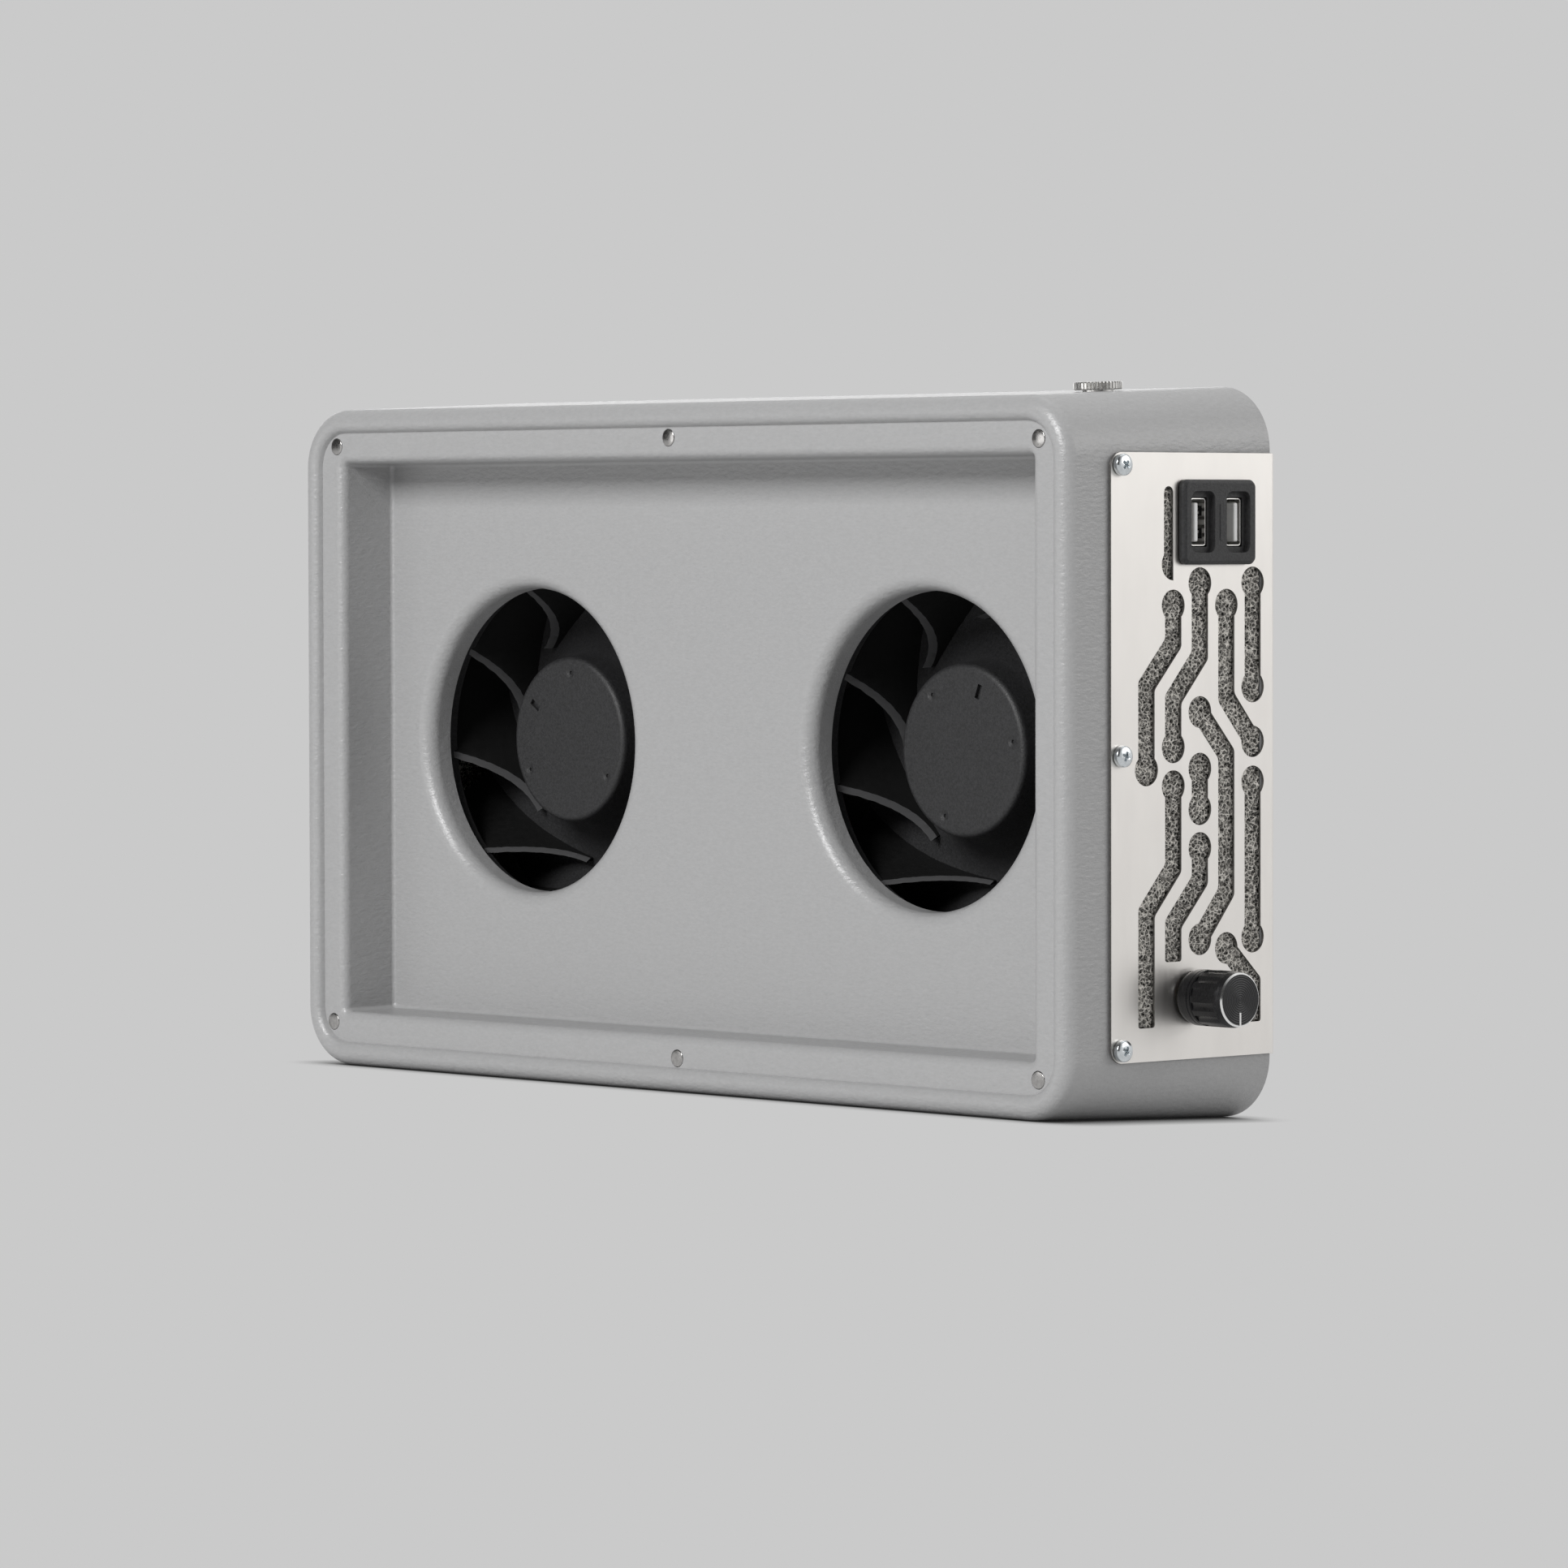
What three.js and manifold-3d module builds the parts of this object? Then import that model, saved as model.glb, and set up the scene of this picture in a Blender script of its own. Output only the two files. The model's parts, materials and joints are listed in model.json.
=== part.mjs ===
// Twin-intake dust extractor fan: a vacuum-formed tray shell, a folded stainless cover with side vents,
// two radial impellers on external-rotor motors, a speed control and a dual charging socket.
// Millimetres. +Z is up, -Y is the intake side, +X is the control side.

import * as THREE from 'three';
import { mergeVertices } from 'three/addons/utils/BufferGeometryUtils.js';
import Module from 'manifold-3d';

const wasm = await Module();
wasm.setup();

// ---------------------------------------------------------------- driving dimensions

const CLEAR = 0.3;               // gap between two fitted pieces

// shell, as seen from the intake side
const FRONT_W = 325.2;           // over the rolled bead
const FRONT_H = 198.6;
const SHELL_D = 77.3;            // bead crest to rear rim
const DRAFT = 0.0385;            // widening of every wall per mm of depth
const WALL = 2.2;
const CORNER_R = 18;
const BEAD_W = 7.0;
const BEAD_RISE = 2.3;           // bead crest in front of the ledge
const LEDGE_W = 7.6;
const RECESS_D = 19;             // ledge to recess floor
const RECESS_DRAFT = 2.6;        // recess walls close in by this much

// intakes
const INTAKE_SPAN = 167.6;       // centre to centre
const INTAKE_R = 45.4;
const INTAKE_LIP_R = 4.6;        // radius of the rounded mouth
const INTAKE_DEPTH = 9;          // recess floor to the end of the nozzle

// impeller and motor
const HUB_R = 24.8;
const HUB_SET_BACK = 16.6;       // recess floor to the hub face
const HUB_EDGE_R = 1.6;
const HUB_WALL = 2.0;
const BASE_SET_BACK = 36;        // recess floor to the base disc
const BASE_START_R = 38.5;
const IMPELLER_R = 60;
const EYE_R = 47.2;              // inlet of the impeller's front ring
const RING_DROP = 8.5;           // how far the front ring slopes back at its rim
const BLADES = 9;
const BLADE_T = 1.4;
const BLADE_WRAP = 63;           // degrees a blade trails from its root to its tip
const BLADE_CURVE = 0.5;         // power of the blade's spiral
const BLADE_PHASE = { left: 13, right: 20.6 };
const BLADE_LEAN = 15;           // degrees the blade leans from base to front ring
const PLATE_T = 1.6;
const SHAFT_R = 2;
const BEARING_R = 5;
const BEARING_L = 4;
const MAGNET_RING_T = 2.3;
const AIR_GAP = 0.6;             // stator to magnet ring
const MOTOR_FLANGE_R = 29;
const MOTOR_FLANGE_T = 2.7;
const MOTOR_SCREW_PCR = 22;      // radius of the circle the motor screws lie on
const MOTOR_SCREWS = 3;

// folded cover
const SHEET = 1.0;
const FLANGE_H = 167;
const FLANGE_D = 63.4;
const FLANGE_CORNER_R = 4;
const COVER_INSET = 1.2;         // rear plate inside the shell's rear outline
const SIDE_SCREW_S = 3.6;        // from the flange's front edge
const SIDE_SCREW_Z = 80;
const WINDOW_S = [9, 58.5];      // window in the shell wall behind each flange
const WINDOW_HALF_Z = 77.5;
const FOAM_T = 8;

// vent slots in a flange: columns from the front edge, heights from the middle
const TRACK_W = 6.2;
const PAD_R = 4.35;
const COLUMN_0 = 13.4;
const COLUMN_PITCH = 10.25;

// screws: pan heads, M3
const SCREW_R = 1.5;
const SCREW_HEAD_R = 3;
const SCREW_HEAD_H = 2.1;

// front magnets
const MAGNET_R = 2.45;
const MAGNET_T = 1.6;
const MAGNET_PROUD = 0.15;
const MAGNET_EDGE = 4.2;         // groove to magnet centre

// charging socket
const USB_S = 39.7;
const USB_Z = 64.4;
const USB_W = 28.3;
const USB_H = 23.4;
const USB_FACE = 2.5;
const USB_BODY_W = 25.2;
const USB_BODY_H = 20;
const USB_BODY_D = 14;
const PORT_PITCH = 13.6;
const PORT_POCKET = [9, 16.8, 1.8];
const PORT_W = 5.7;
const PORT_H = 13.1;
const PORT_WALL = 0.45;

// speed control
const KNOB_S = 31.5;
const KNOB_Z = -66.4;
const KNOB_R = 7.5;
const KNOB_TOP = 18.2;           // face above the flange
const KNOB_GAP = 0.8;
const POT_R = 8;
const POT_D = 8;
const BUSH_R = 3.5;
const POT_SHAFT_R = 3;
const POT_NUT_R = 5.2;
const POT_NUT_T = 2;

// power socket on top
const SOCKET_X = 136;
const SOCKET_Y = 37;
const SOCKET_RING_R = 6.8;
const SOCKET_RING_T = 2.3;
const SOCKET_R = 4.4;
const SOCKET_BORE_R = 2.9;
const SOCKET_PIN_R = 1;
const SOCKET_D = 13;

// circuit board
const BOARD = [44, 24, 1.6];

// facets round a full turn
const FINE = 32;
const ROUND = 24;
const SMALL = 12;
const TINY = 8;

// ---------------------------------------------------------------- derived dimensions

const BEAD_Y = -BEAD_RISE;
const REAR_Y = BEAD_Y + SHELL_D;
const FLOOR_Y = RECESS_D;
const NOZZLE_Y = FLOOR_Y + INTAKE_DEPTH;
const HUB_Y = FLOOR_Y + HUB_SET_BACK;
const BASE_Y = FLOOR_Y + BASE_SET_BACK;
const EYE_Y = NOZZLE_Y + 1.6;
const HALF_REAR_W = FRONT_W / 2 + DRAFT * SHELL_D;
const HALF_REAR_H = FRONT_H / 2 + DRAFT * SHELL_D;
const BORDER = BEAD_W + LEDGE_W;
const PLATE_Y = REAR_Y + CLEAR;
const PLATE_BACK_Y = PLATE_Y + SHEET;
const LEAN = Math.atan(DRAFT);
const BOSS_Y = HUB_Y + HUB_WALL + CLEAR;

// ---------------------------------------------------------------- helpers

function toSolid(geometry) {
  const bare = geometry.clone();
  bare.deleteAttribute('normal');
  bare.deleteAttribute('uv');
  const merged = mergeVertices(bare, 1e-4);
  return new wasm.Manifold(new wasm.Mesh({
    numProp: 3,
    vertProperties: Float32Array.from(merged.attributes.position.array),
    triVerts: Uint32Array.from(merged.index.array),
  }));
}

function toGeometry(solid) {
  const mesh = solid.getMesh();
  const geometry = new THREE.BufferGeometry();
  geometry.setAttribute('position', new THREE.BufferAttribute(Float32Array.from(mesh.vertProperties), 3));
  geometry.setIndex(new THREE.BufferAttribute(Uint32Array.from(mesh.triVerts), 1));
  geometry.computeVertexNormals();
  return geometry;
}

function joined(...geometries) {
  return toGeometry(geometries.map(toSolid).reduce((a, b) => a.add(b)));
}

function cut(geometry, ...tools) {
  return toGeometry(tools.map(toSolid).reduce((a, b) => a.subtract(b), toSolid(geometry)));
}

// A lathe turned about +Y, from [radius, y] points. A profile that leaves the axis closes on itself.
function turned(points, segments = ROUND) {
  const onAxis = points[0][0] === 0 && points[points.length - 1][0] === 0;
  const profile = points.map(([r, y]) => new THREE.Vector2(r, y));
  if (!onAxis) profile.push(profile[0].clone());
  const geometry = new THREE.LatheGeometry(profile, segments);
  return toSolid(geometry).volume() < 0 ? turned([...points].reverse(), segments) : geometry;
}

function disc(radius, y0, y1, segments = ROUND) {
  const geometry = new THREE.CylinderGeometry(radius, radius, y1 - y0, segments);
  return geometry.translate(0, (y0 + y1) / 2, 0);
}

function tube(outer, inner, y0, y1, segments = ROUND) {
  return turned([[inner, y0], [outer, y0], [outer, y1], [inner, y1]], segments);
}

function block(x0, x1, y0, y1, z0, z1) {
  const geometry = new THREE.BoxGeometry(x1 - x0, y1 - y0, z1 - z0);
  return geometry.translate((x0 + x1) / 2, (y0 + y1) / 2, (z0 + z1) / 2);
}

function roundedRect(halfW, halfH, r, corner = 5) {
  const shape = new THREE.Shape();
  const points = [];
  for (const [sx, sz, start] of [[1, 1, 0], [-1, 1, 90], [-1, -1, 180], [1, -1, 270]]) {
    for (let i = 0; i <= corner; i++) {
      const a = THREE.MathUtils.degToRad(start + 90 * i / corner);
      points.push(new THREE.Vector2(sx * (halfW - r) + r * Math.cos(a), sz * (halfH - r) + r * Math.sin(a)));
    }
  }
  shape.setFromPoints(points);
  return shape;
}

// Extrudes a shape drawn in (x, z) along +Y from y0 to y1.
function slab(shape, y0, y1, curveSegments = 4) {
  const geometry = new THREE.ExtrudeGeometry(shape, { depth: y1 - y0, bevelEnabled: false, curveSegments });
  return geometry.rotateX(Math.PI / 2).translate(0, y1, 0);
}

// A rounded-rectangle solid whose outline is stepped inward along its depth. Each ring is [inset, y].
function ringed(halfW, halfH, cornerR, rings, corner = 5) {
  const steps = rings.length - 1;
  const outline = roundedRect(halfW, halfH, cornerR, corner);
  const geometry = new THREE.ExtrudeGeometry(outline, { depth: steps, steps, bevelEnabled: false });
  const position = geometry.attributes.position;
  for (let i = 0; i < position.count; i++) {
    const [inset, y] = rings[Math.round(position.getZ(i))];
    const x = position.getX(i);
    const z = position.getY(i);
    const coreX = THREE.MathUtils.clamp(x, cornerR - halfW, halfW - cornerR);
    const coreZ = THREE.MathUtils.clamp(z, cornerR - halfH, halfH - cornerR);
    const minR = 3;
    const keep = Math.max(cornerR - inset, minR);
    const push = cornerR - inset - keep;
    const dx = (x - coreX) / cornerR;
    const dz = (z - coreZ) / cornerR;
    const nx = coreX + keep * dx + push * Math.sign(Math.abs(dx) > 1e-6 ? dx : 0);
    const nz = coreZ + keep * dz + push * Math.sign(Math.abs(dz) > 1e-6 ? dz : 0);
    position.setXYZ(i, nx, y, nz);
  }
  return toSolid(geometry).volume() < 0 ? flipped(geometry) : geometry;
}

function flipped(geometry) {
  const bare = geometry.index ? geometry.toNonIndexed() : geometry.clone();
  const position = bare.attributes.position;
  const a = new THREE.Vector3();
  const b = new THREE.Vector3();
  for (let i = 0; i < position.count; i += 3) {
    a.fromBufferAttribute(position, i + 1);
    b.fromBufferAttribute(position, i + 2);
    position.setXYZ(i + 1, b.x, b.y, b.z);
    position.setXYZ(i + 2, a.x, a.y, a.z);
  }
  return bare;
}

const materials = {
  plastic: { color: 0x9c9c9c, roughness: 0.5, metalness: 0 },
  steel: { color: 0xcfc9c2, roughness: 0.35, metalness: 1 },
  zinc: { color: 0xc9d0d4, roughness: 0.25, metalness: 1 },
  nickel: { color: 0xb8b6b2, roughness: 0.2, metalness: 1 },
  black: { color: 0x1c1c1d, roughness: 0.55, metalness: 0 },
  white: { color: 0xdededc, roughness: 0.4, metalness: 0 },
  anodised: { color: 0x161617, roughness: 0.35, metalness: 0.8 },
  foam: { color: 0xa8a39c, roughness: 0.95, metalness: 0 },
  copper: { color: 0xb06a3a, roughness: 0.4, metalness: 0.8 },
  ferrite: { color: 0x3a3a3c, roughness: 0.7, metalness: 0.2 },
  board: { color: 0x1e5a36, roughness: 0.5, metalness: 0 },
  brass: { color: 0xb89a55, roughness: 0.35, metalness: 1 },
};

function piece(parent, name, geometry, finish) {
  const mesh = new THREE.Mesh(geometry, new THREE.MeshStandardMaterial(materials[finish]));
  mesh.name = name;
  parent.add(mesh);
  return mesh;
}

// ---------------------------------------------------------------- vent pattern

const column = (i) => COLUMN_0 + COLUMN_PITCH * i;

// Each run is a list of [column, height]; pads marks which of its ends carry a round pad.
const RUNS = [
  { path: [[1, 41.5], [1, 31.2], [0, 19.6], [0, -3.5]], pads: [1, 1] },
  { path: [[2, 47.6], [2, 27.7], [1, 15.8], [1, 2.6]], pads: [1, 1] },
  { path: [[3, 41.6], [3, 16.0], [4, 3.6]], pads: [1, 1] },
  { path: [[4, 47.7], [4, 18.8]], pads: [1, 1] },
  { path: [[2, 12.1], [3, 0.3], [3, -37.8], [2, -50.6]], pads: [1, 1] },
  { path: [[2, -3.5], [2, -14.7]], pads: [1, 1] },
  { path: [[1, -8.1], [1, -30.6], [0, -42.5], [0, -74.2]], pads: [1, 0] },
  { path: [[2, -25.4], [2, -34.3], [1, -46.0], [1, -56.4]], pads: [1, 0] },
  { path: [[4, -7.5], [4, -50.7]], pads: [1, 1] },
  { path: [[3, -53.4], [4, -63.4], [4, -74.3]], pads: [1, 0] },
];

// Outline of a track of width TRACK_W along its run, mitred at the bends and square at a free end.
function trackShape(run) {
  const points = run.path.map(([c, z]) => new THREE.Vector2(column(c), z));
  const left = [];
  const right = [];
  for (let i = 0; i < points.length; i++) {
    const before = i > 0 ? points[i].clone().sub(points[i - 1]).normalize() : null;
    const after = i < points.length - 1 ? points[i + 1].clone().sub(points[i]).normalize() : null;
    const a = before || after;
    const b = after || before;
    const mitre = new THREE.Vector2(-(a.y + b.y), a.x + b.x).normalize();
    const reach = (TRACK_W / 2) / mitre.dot(new THREE.Vector2(-a.y, a.x));
    left.push(points[i].clone().addScaledVector(mitre, reach));
    right.unshift(points[i].clone().addScaledVector(mitre, -reach));
  }
  return new THREE.Shape([...left, ...right]);
}

function ventCutters(depth) {
  const cutters = [];
  for (const run of RUNS) {
    cutters.push(slab(trackShape(run), -depth, depth));
    run.pads.forEach((pad, end) => {
      if (!pad) return;
      const [c, z] = run.path[end === 0 ? 0 : run.path.length - 1];
      const hole = disc(PAD_R, -depth, depth, SMALL);
      cutters.push(hole.translate(column(c), 0, z));
    });
  }
  return cutters.reduce((a, g) => (a ? a.add(toSolid(g)) : toSolid(g)), null);
}

// The slot beside the charging socket: a narrow straight run with half a pad at its foot.
function socketSlot(depth) {
  const width = 3.5;
  const s1 = USB_S - USB_W / 2 - 1.9;
  const top = USB_Z + 9.8;
  const pad = USB_Z - 11.6;
  const run = block(s1 - width, s1, -depth, depth, pad, top - width / 2);
  const cap = disc(width / 2, -depth, depth, TINY).translate(s1 - width / 2, 0, top - width / 2);
  const foot = toSolid(disc(PAD_R, -depth, depth, SMALL).translate(column(1), 0, pad));
  const side = toSolid(block(s1 - 10, s1, -depth, depth, pad - 10, pad + 10));
  return toSolid(run).add(toSolid(cap)).add(foot.intersect(side));
}

// ---------------------------------------------------------------- shell

const sideInset = (y) => DRAFT * (REAR_Y - y);

function shellRings() {
  const frontInset = sideInset(BEAD_Y);
  const crestR = 4.2;
  const rings = [[0, REAR_Y]];
  for (const a of [0, 22.5, 45, 67.5, 90]) {
    const t = THREE.MathUtils.degToRad(a);
    rings.push([frontInset + crestR * (1 - Math.cos(t)), BEAD_Y + crestR * (1 - Math.sin(t))]);
  }
  const innerR = (BEAD_W - crestR) * 0.95;
  for (const a of [40, 75]) {
    const t = THREE.MathUtils.degToRad(a);
    const drop = Math.min(innerR * (1 - Math.cos(t)), BEAD_RISE * 0.8);
    rings.push([frontInset + crestR + innerR * Math.sin(t), BEAD_Y + drop]);
  }
  rings.push([frontInset + BEAD_W, 0]);
  const edge = frontInset + BORDER;
  const round = 1.8;
  rings.push([edge - round, 0]);
  for (const a of [45, 90]) {
    const t = THREE.MathUtils.degToRad(a);
    rings.push([edge - round * (1 - Math.sin(t)), round * (1 - Math.cos(t))]);
  }
  rings.push([edge + RECESS_DRAFT - 0.6, FLOOR_Y - 1.6]);
  rings.push([edge + RECESS_DRAFT + 1.0, FLOOR_Y]);
  return rings;
}

function hollowRings() {
  const frontInset = sideInset(BEAD_Y);
  const wallBack = frontInset + BORDER - WALL;
  return [
    [WALL - DRAFT * 5, REAR_Y + 5],
    [sideInset(2) + WALL, 2],
    [frontInset + WALL + 2.4, WALL],
    [wallBack, WALL],
    [wallBack + RECESS_DRAFT, FLOOR_Y + WALL],
  ];
}

function intake(x) {
  const mouth = INTAKE_R + INTAKE_LIP_R;
  const arc = [];
  for (const a of [0, 40, 90]) {
    const t = THREE.MathUtils.degToRad(a);
    arc.push([mouth - INTAKE_LIP_R * Math.sin(t), FLOOR_Y + INTAKE_LIP_R * (1 - Math.cos(t))]);
  }
  const collar = turned([
    [INTAKE_R - 1, FLOOR_Y + 0.5], [mouth + 1.5, FLOOR_Y + 0.5], [mouth + 1.5, FLOOR_Y + WALL],
    [INTAKE_R + WALL, FLOOR_Y + INTAKE_LIP_R + 1.2], [INTAKE_R + WALL, NOZZLE_Y], [INTAKE_R - 1, NOZZLE_Y],
  ], FINE).translate(x, 0, 0);
  const horn = turned([
    [0, FLOOR_Y - 1], [mouth, FLOOR_Y - 1], ...arc, [INTAKE_R, NOZZLE_Y + 1], [0, NOZZLE_Y + 1],
  ], FINE).translate(x, 0, 0);
  return { collar, horn };
}

// A frame lying on a side wall: local x points out of the wall, local y runs back along it.
// The origin is on the flange's outer face, at its front edge and half its height.
function sideFrame(side) {
  const outerAtRear = HALF_REAR_W + CLEAR + SHEET;
  const frontY = PLATE_BACK_Y - FLANGE_D * Math.cos(LEAN);
  const frame = new THREE.Group();
  frame.position.set(side * (outerAtRear - DRAFT * (PLATE_BACK_Y - frontY)), frontY, 0);
  frame.rotation.z = -side * LEAN;
  return frame;
}

function inSideFrame(geometry, side) {
  const frame = sideFrame(side);
  frame.updateMatrix();
  return geometry.clone().applyMatrix4(frame.matrix);
}

// Turns a solid made with (s along x, depth along y) so that s runs back and the depth points outward.
function ontoWall(solid, side) {
  const turn = new THREE.Matrix4().makeBasis(
    new THREE.Vector3(0, 1, 0),
    new THREE.Vector3(side, 0, 0),
    new THREE.Vector3(0, 0, 1),
  );
  const geometry = toGeometry(solid).applyMatrix4(turn);
  return toSolid(geometry).volume() < 0 ? flipped(geometry) : geometry;
}

function magnetPlaces() {
  const x = FRONT_W / 2 - BEAD_W - MAGNET_EDGE - 1.6;
  const z = FRONT_H / 2 - BEAD_W - MAGNET_EDGE;
  // set by hand in the real shell, so each lies a little off the pattern
  return {
    magnet_top_left: [-x + 0.9, z + 0.1],
    magnet_top_middle: [0, z + 1.1],
    magnet_top_right: [x - 0.5, z - 0.9],
    magnet_bottom_left: [-x - 1.6, -z + 1.7],
    magnet_bottom_middle: [3, -z - 1.5],
    magnet_bottom_right: [x - 0.9, -z + 0.2],
  };
}

function sideScrewPlaces() {
  return { top: SIDE_SCREW_Z, middle: 0.5, bottom: -SIDE_SCREW_Z };
}

function socketFrame() {
  const frame = new THREE.Group();
  const topZ = HALF_REAR_H - DRAFT * (REAR_Y - SOCKET_Y);
  frame.position.set(SOCKET_X, SOCKET_Y, topZ);
  frame.rotation.x = LEAN + Math.PI / 2;
  return frame;
}

function buildShell() {
  let shell = toSolid(ringed(HALF_REAR_W, HALF_REAR_H, CORNER_R, shellRings()));
  shell = shell.subtract(toSolid(ringed(HALF_REAR_W, HALF_REAR_H, CORNER_R, hollowRings())));
  for (const side of [-1, 1]) {
    const { collar, horn } = intake(side * INTAKE_SPAN / 2);
    shell = shell.add(toSolid(collar)).subtract(toSolid(horn));
    const [s0, s1] = WINDOW_S;
    const window = block(Math.min(-20 * side, 5 * side), Math.max(-20 * side, 5 * side),
      s0, s1, -WINDOW_HALF_Z, WINDOW_HALF_Z);
    shell = shell.subtract(toSolid(inSideFrame(window, side)));
    for (const z of Object.values(sideScrewPlaces())) {
      const hole = disc(SCREW_R + CLEAR, -10, 2, TINY).rotateZ(-side * Math.PI / 2);
      shell = shell.subtract(toSolid(inSideFrame(hole.translate(0, SIDE_SCREW_S, z), side)));
    }
  }
  for (const [x, z] of Object.values(magnetPlaces())) {
    const pocket = disc(MAGNET_R + CLEAR, -5, MAGNET_T - MAGNET_PROUD + CLEAR, SMALL).translate(x, 0, z);
    shell = shell.subtract(toSolid(pocket));
  }
  const frame = socketFrame();
  frame.updateMatrix();
  const socketHole = disc(SOCKET_R + CLEAR, -10, 10, SMALL).applyMatrix4(frame.matrix);
  return toGeometry(shell.subtract(toSolid(socketHole)));
}

// ---------------------------------------------------------------- folded cover

function buildCover() {
  const plate = roundedRect(HALF_REAR_W - COVER_INSET, HALF_REAR_H - COVER_INSET, CORNER_R - COVER_INSET);
  let cover = toSolid(slab(plate, PLATE_Y, PLATE_BACK_Y));
  const reach = HALF_REAR_W + CLEAR + SHEET;
  cover = cover.add(toSolid(block(-reach, reach, PLATE_Y, PLATE_BACK_Y, -FLANGE_H / 2, FLANGE_H / 2)));
  for (const side of [-1, 1]) {
    const flange = new THREE.Shape();
    const r = FLANGE_CORNER_R;
    const half = FLANGE_H / 2;
    flange.moveTo(FLANGE_D, -half);
    flange.lineTo(FLANGE_D, half);
    flange.lineTo(r, half);
    flange.absarc(r, half - r, r, Math.PI / 2, Math.PI, false);
    flange.lineTo(0, r - half);
    flange.absarc(r, r - half, r, Math.PI, 1.5 * Math.PI, false);
    let sheet = toSolid(slab(flange, -SHEET, 0));
    sheet = sheet.subtract(ventCutters(SHEET + 1));
    if (side > 0) {
      const socket = block(
        USB_S - USB_BODY_W / 2 - CLEAR, USB_S + USB_BODY_W / 2 + CLEAR, -5, 5,
        USB_Z - USB_BODY_H / 2 - CLEAR, USB_Z + USB_BODY_H / 2 + CLEAR,
      );
      const bush = disc(BUSH_R + CLEAR, -5, 5, SMALL).translate(KNOB_S, 0, KNOB_Z);
      sheet = sheet.subtract(toSolid(socket)).subtract(toSolid(bush)).subtract(socketSlot(SHEET + 1));
    }
    for (const z of Object.values(sideScrewPlaces())) {
      sheet = sheet.subtract(toSolid(disc(SCREW_R + CLEAR, -5, 5, TINY).translate(SIDE_SCREW_S, 0, z)));
    }
    cover = cover.add(toSolid(inSideFrame(ontoWall(sheet, side), side)));
  }
  for (const side of [-1, 1]) {
    for (const [x, z] of motorScrewPlaces(side * INTAKE_SPAN / 2)) {
      cover = cover.subtract(toSolid(disc(SCREW_R + CLEAR, PLATE_Y - 2, PLATE_BACK_Y + 2, TINY).translate(x, 0, z)));
    }
  }
  // the leaning flanges would otherwise stand out behind the plate at their inner corner
  return toGeometry(cover.trimByPlane([0, -1, 0], -PLATE_BACK_Y));
}

function motorScrewPlaces(centreX) {
  return Array.from({ length: MOTOR_SCREWS }, (_, i) => {
    const a = Math.PI / 2 + 2 * Math.PI * i / MOTOR_SCREWS;
    return [centreX + MOTOR_SCREW_PCR * Math.cos(a), MOTOR_SCREW_PCR * Math.sin(a)];
  });
}

// ---------------------------------------------------------------- screws and magnets

// A pan-head screw along +Y: the head starts at y = 0 and the shank runs to -length.
function screw(length) {
  const body = turned([
    [0, -length], [SCREW_R, -length], [SCREW_R, CLEAR], [SCREW_HEAD_R, CLEAR],
    [SCREW_HEAD_R, CLEAR + 0.8], [SCREW_HEAD_R * 0.7, CLEAR + SCREW_HEAD_H],
    [0, CLEAR + SCREW_HEAD_H],
  ], TINY);
  const top = CLEAR + SCREW_HEAD_H;
  const slotA = block(-1.7, 1.7, top - 1.1, top + 1, -0.35, 0.35);
  const slotB = block(-0.35, 0.35, top - 1.1, top + 1, -1.7, 1.7);
  return cut(body, slotA, slotB);
}

// ---------------------------------------------------------------- impeller

function bladeShape() {
  const start = BASE_START_R - 0.1;
  const count = 5;
  const inner = [];
  const outer = [];
  for (let i = 0; i <= count; i++) {
    const t = (i / count) ** 2;
    const r = start + (IMPELLER_R - 0.2 - start) * t;
    const a = -THREE.MathUtils.degToRad(BLADE_WRAP) * Math.pow(t, BLADE_CURVE);
    const spread = Math.asin(BLADE_T / 2 / Math.sin(THREE.MathUtils.degToRad(38)) / r);
    inner.push(new THREE.Vector2(r * Math.cos(a - spread), r * Math.sin(a - spread)));
    outer.unshift(new THREE.Vector2(r * Math.cos(a + spread), r * Math.sin(a + spread)));
  }
  return new THREE.Shape([...inner, ...outer]);
}

function leaned(geometry, y0, y1, degrees) {
  const position = geometry.attributes.position;
  for (let i = 0; i < position.count; i++) {
    const t = (y1 - position.getY(i)) / (y1 - y0);
    const a = THREE.MathUtils.degToRad(degrees * t);
    const x = position.getX(i);
    const z = position.getZ(i);
    position.setX(i, x * Math.cos(a) - z * Math.sin(a));
    position.setZ(i, x * Math.sin(a) + z * Math.cos(a));
  }
  return geometry;
}

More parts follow.
